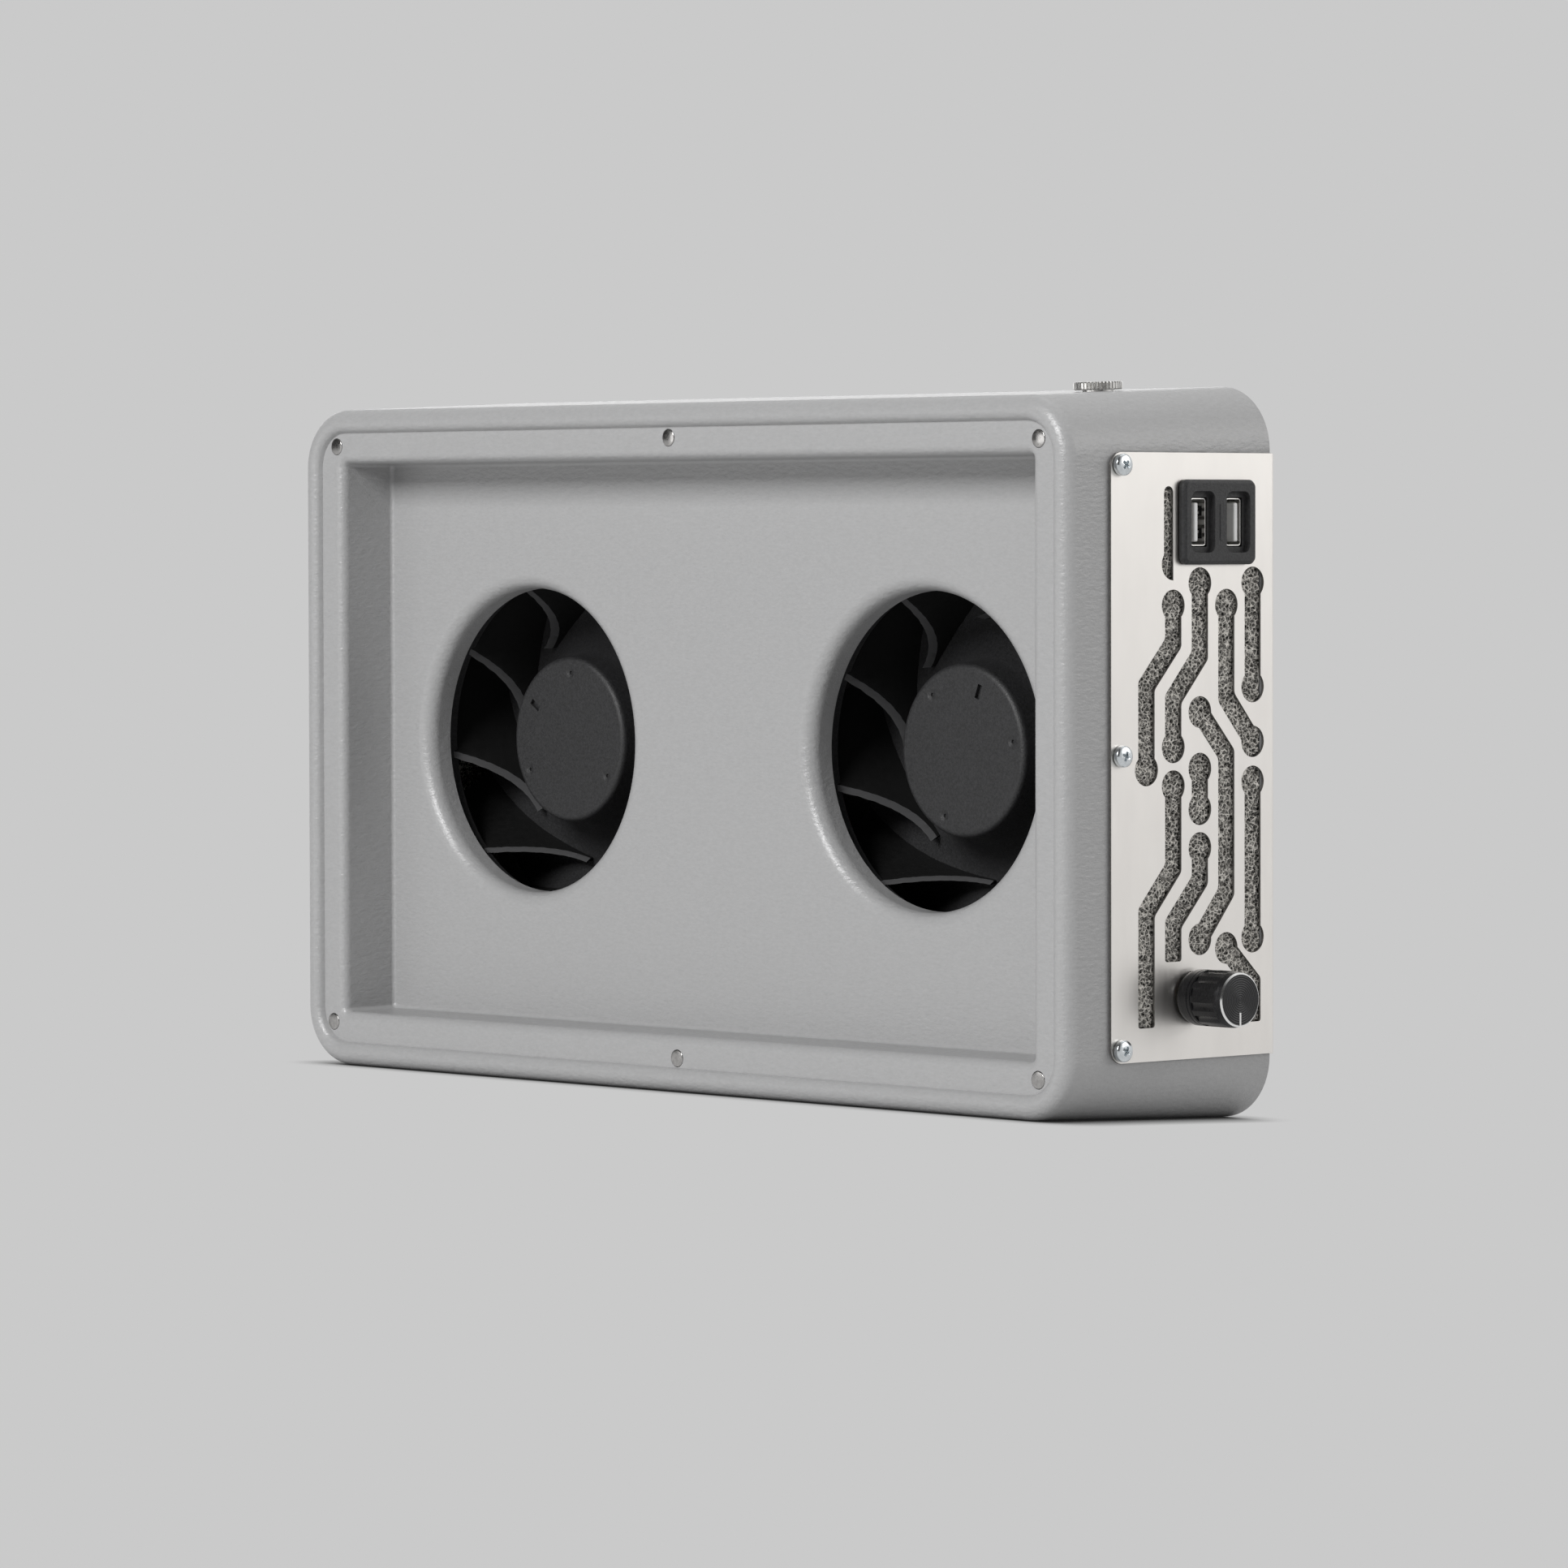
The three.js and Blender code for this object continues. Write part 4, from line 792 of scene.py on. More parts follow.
def intake_horn(shell, x):
    """Bell mouth that leads from the recess floor into the impeller's eye."""
    mouth = shell.intake + shell.lip
    floor = shell.recess
    angles = [math.radians(a) for a in range(0, 91, 10)]
    bell = [(mouth - shell.lip * math.sin(a), floor + shell.lip * (1 - math.cos(a))) for a in angles]
    horn = turned([*bell, (shell.intake, floor + shell.nozzle)], 128)
    return moved(horn, Matrix.Translation((x, 0, 0)))


def magnet_places():
    """Middle of each ledge magnet, measured from the middle of the front."""
    places = {}
    for name in frame["nodes"]:
        if name.startswith("magnet_") and "ring" not in name:
            low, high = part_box(name)
            places[name] = ((low.x + high.x) / 2 - CENTRE.x, (low.z + high.z) / 2 - CENTRE.z)
    return places


def side_screw_heights():
    """Height of each side screw over the middle."""
    return {place: sum(p.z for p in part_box(f"side_screw_right_{place}")) / 2 - CENTRE.z
            for place in ("top", "middle", "bottom")}


def window_cutters():
    """Openings of the end walls behind the flanges, and the screw holes."""
    cutters = []
    for side, sign in SIDES.items():
        window = block(*WINDOW, -5 * MM, 20 * MM, -WINDOW_HALF_Z, WINDOW_HALF_Z)
        if sign < 0:
            moved(window, Matrix.Rotation(math.pi, 4, "Z") @ Matrix.Translation((0, -15 * MM, 0)))
        cutters.append(moved(window, wall_place(side)))
        for z in side_screw_heights().values():
            hole = post(SCREW_HOLE, -5 * MM, 15 * MM, sides=24)
            cutters.append(moved(hole, wall_place(side, SCREW_ALONG, 0, z)))
    return cutters


class EXTRACTOR_OT_tray_shell(bpy.types.Operator):
    """Makes the vacuum-formed tray with its bead, recess and bell-mouth intakes"""

    bl_idname = "extractor.tray_shell"
    bl_label = "Tray shell"

    def execute(self, context):
        shell = context.scene.extractor_shell
        tray = ringed_tray(shell)
        mouth = shell.intake + shell.lip
        floor = shell.recess
        for x in FAN_X.values():
            carve(tray, post(mouth, floor - 2 * MM, floor + 3 * MM, x, sides=128))
        choose(tray, "FACE", lambda c, n: n.y > 0.99 and c.y > REAR_Y - WELD
               or (c.y > floor + WELD and any((c.x - x) ** 2 + c.z ** 2 < (mouth + WELD) ** 2
                                              for x in FAN_X.values())))
        bpy.ops.mesh.delete(type="FACE")
        tray = joined([tray, *(intake_horn(shell, x) for x in FAN_X.values())])
        edit(tray, "VERT", everything=True)
        bpy.ops.mesh.remove_doubles(threshold=WELD)
        bpy.ops.mesh.normals_make_consistent(inside=False)
        to_object_mode()
        wall = max(tray.data.polygons, key=lambda p: p.center.z)
        if wall.normal.z < 0:
            edit(tray, "FACE", everything=True)
            bpy.ops.mesh.flip_normals()
        apply_modifier(tray, "SOLIDIFY", thickness=shell.wall, offset=-1, use_even_offset=True)
        moved(tray, front_place())
        cutters = window_cutters()
        for x, z in magnet_places().values():
            pocket = post(MAGNET_R + 0.12 * MM, -6 * MM, 1.7 * MM, sides=40)
            cutters.append(moved(pocket, front_place(x, 0, z)))
        cutters.append(moved(post(INLET_HOLE, -10 * MM, 10 * MM, sides=40), top_place(*INLET_AT)))
        carve(tray, joined(cutters))
        hand_over(tray, "tray_shell", "root", [finish("grey_plastic")], ["front_shell"], 38)
        return {"FINISHED"}


# ------------------------------------------------------------------ folded cover


def track_outline(points, width):
    """Outline of a run of a given width, mitred at its bends."""
    left, right = [], []
    for i, point in enumerate(points):
        before = (point - points[i - 1]).normalized() if i else None
        after = (points[i + 1] - point).normalized() if i + 1 < len(points) else None
        a, b = before or after, after or before
        mitre = Vector((-(a.y + b.y), a.x + b.x)).normalized()
        reach = width / 2 / mitre.dot(Vector((-a.y, a.x)))
        left.append(point + mitre * reach)
        right.insert(0, point - mitre * reach)
    return left + right


def track_cutter(points, width, depth, rounding):
    """A bar with a run's outline, its corners eased."""
    outline = track_outline(points, width)
    mesh = bpy.data.meshes.new("run")
    mesh.from_pydata([(p.x, -depth, p.y) for p in outline], [], [range(len(outline))])
    piece = bpy.data.objects.new("run", mesh)
    bpy.context.scene.collection.objects.link(piece)
    edit(piece, "VERT", everything=True)
    bpy.ops.mesh.bevel(offset=rounding, segments=4, affect="VERTICES", clamp_overlap=False)
    bpy.ops.mesh.select_mode(type="FACE")
    bpy.ops.mesh.select_all(action="SELECT")
    bpy.ops.mesh.extrude_region_move(TRANSFORM_OT_translate={"value": (0, 2 * depth, 0)})
    bpy.ops.mesh.select_all(action="SELECT")
    bpy.ops.mesh.normals_make_consistent(inside=False)
    to_object_mode()
    return piece


def vent_cutters(cover, side):
    """Two cutters for a flange's vents: all the runs, and all the pads."""
    sign = SIDES[side]
    depth = 4 * MM
    runs, pads = [], []
    for path, ends in RUNS:
        points = [Vector((sign * (cover.column + cover.pitch * c), z * MM)) for c, z in path]
        runs.append(track_cutter(points, cover.track, depth, 0.8 * MM))
        for point, pad in zip((points[0], points[-1]), ends):
            if pad:
                pads.append(post(cover.pad, -depth, depth, point.x, point.y, 56))
    place = wall_place(side)
    return [moved(joined(runs), place), moved(joined(pads), place)]


def control_cutters(cover, sizes):
    """Openings of the control flange: charging socket, knob bush and the half slot beside the socket."""
    depth = 4 * MM
    half_w, half_h = SOCKET_BODY_W / 2 + CLEAR, SOCKET_BODY_H / 2 + CLEAR
    socket = block(SOCKET_ALONG - half_w, SOCKET_ALONG + half_w, -depth, depth,
                   SOCKET_Z - half_h, SOCKET_Z + half_h)
    bush = post(3.8 * MM, -depth, depth, KNOB_ALONG, KNOB_Z, 32)
    width = 3.5 * MM
    edge = SOCKET_ALONG - sizes.socket_w / 2 - 1.9 * MM
    top, foot = SOCKET_Z + 9.8 * MM, SOCKET_Z - 11.6 * MM
    slot = block(edge - width, edge, -depth, depth, foot, top - width / 2)
    cap = post(width / 2, -depth, depth, edge - width / 2, top - width / 2, 32)
    pad = post(cover.pad, -depth, depth, cover.column + cover.pitch, foot, 56)
    around = block(edge - 10 * MM, edge, -2 * depth, 2 * depth, foot - 10 * MM, foot + 10 * MM)
    carve(pad, around, operation="INTERSECT")
    slot = carve(slot, cap, pad, operation="UNION")
    return [moved(piece, wall_place("right")) for piece in (socket, bush, slot)]


def motor_screw_places(side):
    """Middle of each motor screw on the rear plate."""
    places = {}
    for name in frame["nodes"]:
        if name.startswith(f"motor_screw_{side}_"):
            low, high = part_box(name)
            places[name] = ((low.x + high.x) / 2 - CENTRE.x, (low.z + high.z) / 2 - CENTRE.z)
    return places


def folded_sheet(cover):
    """Rear plate and end flanges, folded from one flat face."""
    piece = rectangle(2 * REACH, FLANGE_H, BACK_Y)
    plate_w, plate_h = HALF_W - PLATE_INSET, HALF_H - PLATE_INSET
    for x in (-plate_w, plate_w):
        edit(piece, "FACE", everything=True)
        bpy.ops.mesh.bisect(plane_co=(x, 0, 0), plane_no=(1, 0, 0))
    for sign in (-1, 1):
        choose(piece, "EDGE", lambda a, b: max(abs(a.x), abs(b.x)) < plate_w + WELD
               and min(sign * a.z, sign * b.z) > FLANGE_H / 2 - WELD)
        rise = sign * (plate_h - FLANGE_H / 2)
        bpy.ops.mesh.extrude_region_move(TRANSFORM_OT_translate={"value": (0, 0, rise)})
        choose(piece, "EDGE", lambda a, b: min(sign * a.x, sign * b.x) > REACH - WELD)
        fold = (-sign * FLANGE_D * math.sin(LEAN), -FLANGE_D * math.cos(LEAN), 0)
        bpy.ops.mesh.extrude_region_move(TRANSFORM_OT_translate={"value": fold})
    choose(piece, "VERT", lambda co: abs(co.z) > plate_h - WELD)
    bpy.ops.mesh.bevel(offset=PLATE_CORNER, segments=14, affect="VERTICES", clamp_overlap=False)
    choose(piece, "VERT", lambda co: co.y < BACK_Y - FLANGE_D / 2)
    bpy.ops.mesh.bevel(offset=cover.corner, segments=10, affect="VERTICES", clamp_overlap=False)
    choose(piece, "EDGE", lambda a, b: min(abs(a.x), abs(b.x)) > REACH - WELD
           and min(a.y, b.y) > BACK_Y - WELD)
    bpy.ops.mesh.bevel(offset=cover.bend, segments=7, affect="EDGES", clamp_overlap=False)
    edit(piece, "FACE", everything=True)
    bpy.ops.mesh.normals_make_consistent(inside=False)
    to_object_mode()
    plate = max(piece.data.polygons, key=lambda p: p.area)
    if plate.normal.y < 0:
        edit(piece, "FACE", everything=True)
        bpy.ops.mesh.flip_normals()
    apply_modifier(piece, "SOLIDIFY", thickness=SHEET, offset=-1, use_even_offset=True)
    return moved(piece, front_place())


class EXTRACTOR_OT_steel_cover(bpy.types.Operator):
    """Folds the steel cover and cuts its vents and openings"""

    bl_idname = "extractor.steel_cover"
    bl_label = "Steel cover"

    def execute(self, context):
        cover = context.scene.extractor_cover
        sheet = folded_sheet(cover)
        for side in SIDES:
            carve(sheet, *vent_cutters(cover, side))
            places = [wall_place(side, SCREW_ALONG, 0, z) for z in side_screw_heights().values()]
            places += [back_place(x, z) for x, z in motor_screw_places(side).values()]
            holes = [moved(post(SCREW_HOLE, -3 * MM, 3 * MM, sides=24), place) for place in places]
            carve(sheet, joined(holes))
        carve(sheet, joined(control_cutters(cover, context.scene.extractor_controls)))
        soften(sheet, 0.07 * MM, 1, 50)
        self.mark_cut_edges(sheet)
        hand_over(sheet, "steel_cover", "root",
                  [finish("brushed_steel"), finish("cut_edge")], ["folded_cover"], 30)
        return {"FINISHED"}

    @staticmethod
    def mark_cut_edges(sheet):
        """Gives every face of the sheet the brushed finish, and its cut edges the second one."""
        for polygon in sheet.data.polygons:
            n, middle = polygon.normal, polygon.center
            sign = 1 if middle.x > CENTRE.x else -1
            out = Vector((sign * math.cos(LEAN), -math.sin(LEAN), 0))
            at_end = abs(middle.x - CENTRE.x) > HALF_W - 2 * MM
            on_flange = abs(n.dot(out)) > 0.9
            on_plate = abs(n.y) > 0.9 and not at_end
            folded = Vector((n.x, n.y, 0)).length > 0.9 and n.y > -0.1 and n.x * sign > -0.2
            on_bend = folded and at_end and middle.y > COVER_HIGH.y - 2.2 * MM
            polygon.material_index = 0 if on_flange or on_plate or on_bend else 1


# ------------------------------------------------------------------ foam filters


class EXTRACTOR_OT_foam_filters(bpy.types.Operator):
    """Makes the two open-cell foam filters behind the end vents"""

    bl_idname = "extractor.foam_filters"
    bl_label = "Foam filters"

    def execute(self, context):
        pore = context.scene.extractor_cover.pore
        cells = bpy.data.textures.new("foam_cells", "VORONOI")
        cells.noise_scale = pore
        cells.weight_1 = -1.0
        cells.weight_2 = 1.0
        cells.noise_intensity = 3.8
        for side, sign in SIDES.items():
            pad = self.pad(sign)
            moved(pad, wall_place(side))
            self.open_pores(pad, side, cells)
            if side == "right":
                edge, foot = SOCKET_ALONG - SOCKET_BODY_W / 2 - 1 * MM, SOCKET_Z - SOCKET_BODY_H / 2 - 1 * MM
                socket = block(edge, 70 * MM, -1 * MM, 25 * MM, foot, 90 * MM)
                bush = post(8.8 * MM, -1 * MM, 25 * MM, KNOB_ALONG, KNOB_Z, 40)
                place = wall_place("right")
                carve(pad, moved(socket, place), moved(bush, place))
            hand_over(pad, f"foam_{side}", "root", [finish("foam")], [f"foam_filter_{side}"], 180,
                      flat_first=False)
        return {"FINISHED"}

    def pad(self, sign):
        """A pad with a finely divided outer face."""
        low, high, half = WINDOW[0] + CLEAR, WINDOW[1] - CLEAR, WINDOW_HALF_Z - CLEAR
        front = SHEET + CLEAR
        back = front + 8 * MM
        step = 0.36 * MM
        to_object_mode()
        bpy.ops.mesh.primitive_grid_add(
            x_subdivisions=round((high - low) / step), y_subdivisions=round(2 * half / step), size=1,
            rotation=(math.pi / 2, 0, 0))
        pad = bpy.context.object
        pad.scale = (high - low, 2 * half, 1)
        pad.location = (sign * (low + high) / 2, front, 0)
        bpy.ops.object.transform_apply(location=True, rotation=True, scale=True)
        choose(pad, "EDGE", lambda a, b: self.on_rim(a, b, sign, low, high, half))
        bpy.ops.mesh.extrude_region_move(TRANSFORM_OT_translate={"value": (0, back - front, 0)})
        bpy.ops.mesh.edge_face_add()
        edit(pad, "FACE", everything=True)
        bpy.ops.mesh.normals_make_consistent(inside=False)
        to_object_mode()
        return pad

    @staticmethod
    def on_rim(a, b, sign, low, high, half):
        """Whether an edge lies along one of the four sides of the pad."""
        level = abs(a.z - b.z) < WELD and abs(a.z) > half - WELD
        upright = abs(a.x - b.x) < WELD and (sign * a.x < low + WELD or sign * a.x > high - WELD)
        return level or upright

    def open_pores(self, pad, side, cells):
        """Sinks the pores into the outer face and notes how deep each point lies, which the foam finish
        turns into painted shade.
        """
        place = wall_place(side).inverted()
        front = SHEET + CLEAR
        group = pad.vertex_groups.new(name="face")
        outer = [v.index for v in pad.data.vertices if abs((place @ v.co).y - front) < WELD]
        group.add(outer, 1.0, "REPLACE")
        rest = {i: pad.data.vertices[i].co.copy() for i in outer}
        deep = 0.9 * MM
        take(pad)
        modifier = pad.modifiers.new("pores", "DISPLACE")
        modifier.texture = cells
        modifier.texture_coords = "GLOBAL"
        modifier.direction = "X"
        modifier.mid_level = 0.0
        modifier.strength = -SIDES[side] * deep
        modifier.vertex_group = "face"
        bpy.ops.object.modifier_apply(modifier=modifier.name)
        # The depth is kept for the foam finish to paint shade into deep pores.
        share = pad.data.attributes.new("pore", "FLOAT", "POINT")
        for i, co in rest.items():
            share.data[i].value = min((pad.data.vertices[i].co - co).length / deep * 1.15, 1.0)
        pad.vertex_groups.clear()


# ------------------------------------------------------------------ impellers


def hub_body(fan, floor):
    """Capped hub that flares into the base disc."""
    face = floor + fan.hub_set_back
    base = floor + fan.base_set_back
    wall, edge, plate = 2 * MM, 1.8 * MM, 1.6 * MM
    start = Vector((fan.hub + 0.5 * MM, face + 6 * MM))
    bend = Vector((fan.hub + 2.0 * MM, base - 0.6 * MM))
    end = Vector((fan.base_start + 2.5 * MM, base))
    steps = 12
    flare = [start * (1 - t) ** 2 + bend * (2 * t * (1 - t)) + end * t * t
             for t in (i / steps for i in range(steps + 1))]
    points = [(0, face), (fan.hub - edge, face)]
    points += arc((fan.hub - edge, face + edge), edge, -80, 0, 7)
    points += [(p.x, p.y) for p in flare]
    points += [(fan.rim, base), (fan.rim, base + plate), (fan.hub - wall, base + plate),
               (fan.hub - wall, face + wall), (0, face + wall)]
    return turned(points, 128)


def hub_marks(fan, floor, first_dimple, slot):
    """Cutters for the three moulding dimples and the radial slot of a hub face."""
    face = floor + fan.hub_set_back
    cutters = []
    pit = 1.9 * MM
    for i in range(3):
        a = math.radians(first_dimple + 120 * i)
        dimple = turned([(0, face - 1 * MM), (pit, face - 1 * MM), (pit, face),
                         (pit * 0.72, face + 0.3 * MM), (pit * 0.3, face + 0.5 * MM),
                         (pit * 0.24, face + 1 * MM), (0, face + 1 * MM)], 32)
        cutters.append(moved(dimple, Matrix.Translation((20 * MM * math.cos(a), 0, 20 * MM * math.sin(a)))))
    key = block(15.9 * MM, 20.1 * MM, face - 1 * MM, face + 1.2 * MM, -0.9 * MM, 0.9 * MM)
    cutters.append(moved(key, Matrix.Rotation(-math.radians(slot), 4, "Y")))
    return joined(cutters)


def eye_ring(fan, floor, nozzle):
    """Front ring of the impeller."""
    eye = floor + nozzle + EYE_GAP
    drop, plate = 8.5 * MM, 1.6 * MM
    return turned([(fan.eye, eye), (fan.eye + plate, eye), (fan.eye + 3.6 * MM, eye + 3.4 * MM),
                   (fan.rim, eye + drop), (fan.rim, eye + drop + plate), (fan.eye + 3 * MM, eye + 5.2 * MM),
                   (fan.eye, eye + 2.6 * MM), (fan.eye, eye)], 128)


def blade_channel(fan, floor, nozzle):
    """The space between base disc and front ring that the blades fill."""
    eye = floor + nozzle + EYE_GAP
    base = floor + fan.base_set_back
    return turned([(fan.eye + 0.3 * MM, eye + 0.4 * MM), (fan.eye + 1.2 * MM, eye + 0.4 * MM),
                   (fan.eye + 3.3 * MM, eye + 4.2 * MM), (fan.rim - 0.3 * MM, eye + 9.3 * MM),
                   (fan.rim - 0.3 * MM, base + 0.8 * MM), (fan.base_start + 1 * MM, base + 0.8 * MM),
                   (fan.base_start - 1.2 * MM, base - 0.4 * MM), (fan.eye + 0.3 * MM, eye + 0.4 * MM)], 128)


def one_blade(fan, floor, nozzle):
    """A backward-curved blade: a spiral drawn on the base, raised to the front ring while it turns."""
    base = floor + fan.base_set_back + 2 * MM
    eye = floor + nozzle + EYE_GAP
    start = fan.base_start - 0.1 * MM
    count = 12
    spiral = []
    for i in range(count + 1):
        t = (i / count) ** 2
        r = start + (fan.rim - 0.2 * MM - start) * t
        a = -fan.wrap * math.sqrt(t)
        spiral.append(Vector((r * math.cos(a), 0, r * math.sin(a))))
    to_object_mode()
    bpy.ops.mesh.primitive_plane_add(size=1 * MM)
    blade = bpy.context.object
    edit(blade, "VERT", everything=True)
    bpy.ops.mesh.merge(type="CENTER")
    bpy.ops.mesh.select_all(action="SELECT")
    bpy.ops.transform.translate(value=spiral[0] + Vector((0, base, 0)))
    for a, b in zip(spiral, spiral[1:]):
        bpy.ops.mesh.extrude_vertices_move(TRANSFORM_OT_translate={"value": b - a})
    bpy.ops.mesh.select_mode(type="EDGE")
    bpy.ops.mesh.select_all(action="SELECT")
    steps = 6
    rise = (eye - 0.5 * MM - base) / steps
    for _ in range(steps):
        bpy.ops.mesh.extrude_region_move(TRANSFORM_OT_translate={"value": (0, rise, 0)})
        bpy.ops.transform.rotate(value=fan.lean / steps, orient_axis="Y", center_override=(0, 0, 0))
    to_object_mode()
    apply_modifier(blade, "SOLIDIFY", thickness=fan.blade, offset=0, use_even_offset=True)
    edit(blade, "FACE", everything=True)
    bpy.ops.mesh.normals_make_consistent(inside=False)
    to_object_mode()
    return carve(blade, blade_channel(fan, floor, nozzle), operation="INTERSECT")


class EXTRACTOR_OT_impellers(bpy.types.Operator):
    """Makes the two radial impellers"""

    bl_idname = "extractor.impellers"
    bl_label = "Impellers"

    PHASE = {"left": 13.0, "right": 20.6}
    DIMPLE = {"left": 88.0, "right": 8.5}
    SLOT = {"left": 146.0, "right": 68.5}

    def execute(self, context):
        fan = context.scene.extractor_fan
        shell = context.scene.extractor_shell
        blade = one_blade(fan, shell.recess, shell.nozzle)
        soften(blade, 0.25 * MM, 2, 45)
        self.mark_inlet_edge(blade, fan, shell)
        ring = eye_ring(fan, shell.recess, shell.nozzle)
        ring.data.materials.append(finish("black_plastic"))
        for side, x in FAN_X.items():
            hub = hub_body(fan, shell.recess)
            hub.data.materials.append(finish("black_plastic"))
            carve(hub, hub_marks(fan, shell.recess, self.DIMPLE[side], self.SLOT[side]))
            turns = [-math.radians(self.PHASE[side] + 360 / fan.blades * i) for i in range(fan.blades)]
            blades = [copied(blade, Matrix.Rotation(turn, 4, "Y")) for turn in turns]
            wheel = joined([hub, copied(ring), *blades])
            moved(wheel, front_place(x))
            # The second finish paints a highlight along the blades' inlet edges and the third paints shade
            # on the blade faces.
            hand_over(wheel, f"radial_impeller_{side}", f"impeller_{side}",
                      [finish("black_plastic"), finish("painted_highlight_black"), finish("painted_shade_black")],
                      [f"impeller_{side}"], 32)
        for spare in (blade, ring):
            bpy.data.objects.remove(spare, do_unlink=True)
        return {"FINISHED"}

    @staticmethod
    def mark_inlet_edge(blade, fan, shell):
        """Gives the faces along a blade's inlet edge the second finish, a painted highlight, and all others
        the third, painted shade.
        """
        start = Vector((fan.eye + 0.3 * MM, shell.recess + shell.nozzle + EYE_GAP + 0.4 * MM))
        end = Vector((fan.base_start - 1.2 * MM, shell.recess + fan.base_set_back - 0.4 * MM))
        along = (end - start).normalized()
        for look in ("black_plastic", "painted_highlight_black", "painted_shade_black"):
            blade.data.materials.append(finish(look))
        corners = blade.data.vertices
        for polygon in blade.data.polygons:
            places = [corners[v].co for v in polygon.vertices]
            places = [Vector((math.hypot(p.x, p.z), p.y)) - start for p in places]
            on_edge = all(abs(p.x * along.y - p.y * along.x) < 0.12 * MM for p in places)
            # 1 is the painted highlight on the inlet edge, 2 the painted shade on the blade faces.
            polygon.material_index = 1 if on_edge else 2


# ------------------------------------------------------------------ magnets and screws


class EXTRACTOR_OT_magnets(bpy.types.Operator):
    """Makes the six ledge magnets"""

    bl_idname = "extractor.magnets"
    bl_label = "Magnets"

    def execute(self, context):
        radius, proud, back = MAGNET_R, -0.15 * MM, 1.45 * MM
        edge = 0.22 * MM
        points = [(0, proud), (radius - edge, proud), *arc((radius - edge, proud + edge), edge, -70, 0, 4),
                  (radius, back), (0, back)]
        magnet = turned(points, 48)
        for name, (x, z) in magnet_places().items():
            hand_over(copied(magnet, front_place(x, 0, z)), f"{name}_disc", "root",
                      [finish("magnet")], [name])
        bpy.data.objects.remove(magnet, do_unlink=True)
        return {"FINISHED"}


def pan_screw(sizes, length):
    """A pan-head screw with a cross recess, its head towards -Y."""
    head, shank, under, tall = sizes.screw_head, 1.5 * MM, -0.3 * MM, 2.1 * MM
    top = under - tall
    dome = [(head * math.sin(math.radians(a)), top + 0.75 * MM * (1 - math.cos(math.radians(a))))
            for a in range(0, 61, 10)]
    rim = 0.55 * MM
    points = [*dome, *arc((head - rim, top + 0.95 * MM), rim, -35, 0, 4), (head, under - 0.15 * MM),
              (head - 0.12 * MM, under), (shank, under), (shank, length - 0.4 * MM),
              (shank - 0.4 * MM, length), (0, length)]
    body = turned(points, 56)
    wings = []
    for turn in (0, math.pi / 2):
        wing = block(-1.8 * MM, 1.8 * MM, top - 1 * MM, top + 1.4 * MM, -0.5 * MM, 0.5 * MM)
        choose(wing, "FACE", lambda c, n: n.y > 0.9)
        bpy.ops.transform.resize(value=(0.45, 1, 0.7))
        to_object_mode()
        wings.append(moved(wing, Matrix.Rotation(turn, 4, "Y")))
    carve(wings[0], wings[1], operation="UNION")
    carve(body, wings[0])
    return soften(body, 0.06 * MM, 2, 50)


class EXTRACTOR_OT_screws(bpy.types.Operator):
    """Makes the side screws and the motor screws"""

    bl_idname = "extractor.screws"
    bl_label = "Screws"

    TURN = {"top": 0.72, "middle": 0.35, "bottom": 0.5}

    def execute(self, context):
        sizes = context.scene.extractor_controls
        long_screw = pan_screw(sizes, 6.5 * MM)
        for side in SIDES:
            for place, z in side_screw_heights().items():
                home = wall_place(side, SCREW_ALONG, 0, z, self.TURN[place])
                name = f"side_screw_{side}_{place}"
                hand_over(copied(long_screw, home), f"{name}_zinc", "root",
                          [finish("zinc")], [name], 30)
        short = pan_screw(sizes, 2.8 * MM)
        for side in SIDES:
            for i, (name, (x, z)) in enumerate(sorted(motor_screw_places(side).items())):
                hand_over(copied(short, back_place(x, z, 0.4 * i)), f"{name}_zinc", "root",
                          [finish("zinc")], [name], 30)
        for spare in (long_screw, short):
            bpy.data.objects.remove(spare, do_unlink=True)
        return {"FINISHED"}


# ------------------------------------------------------------------ charging socket


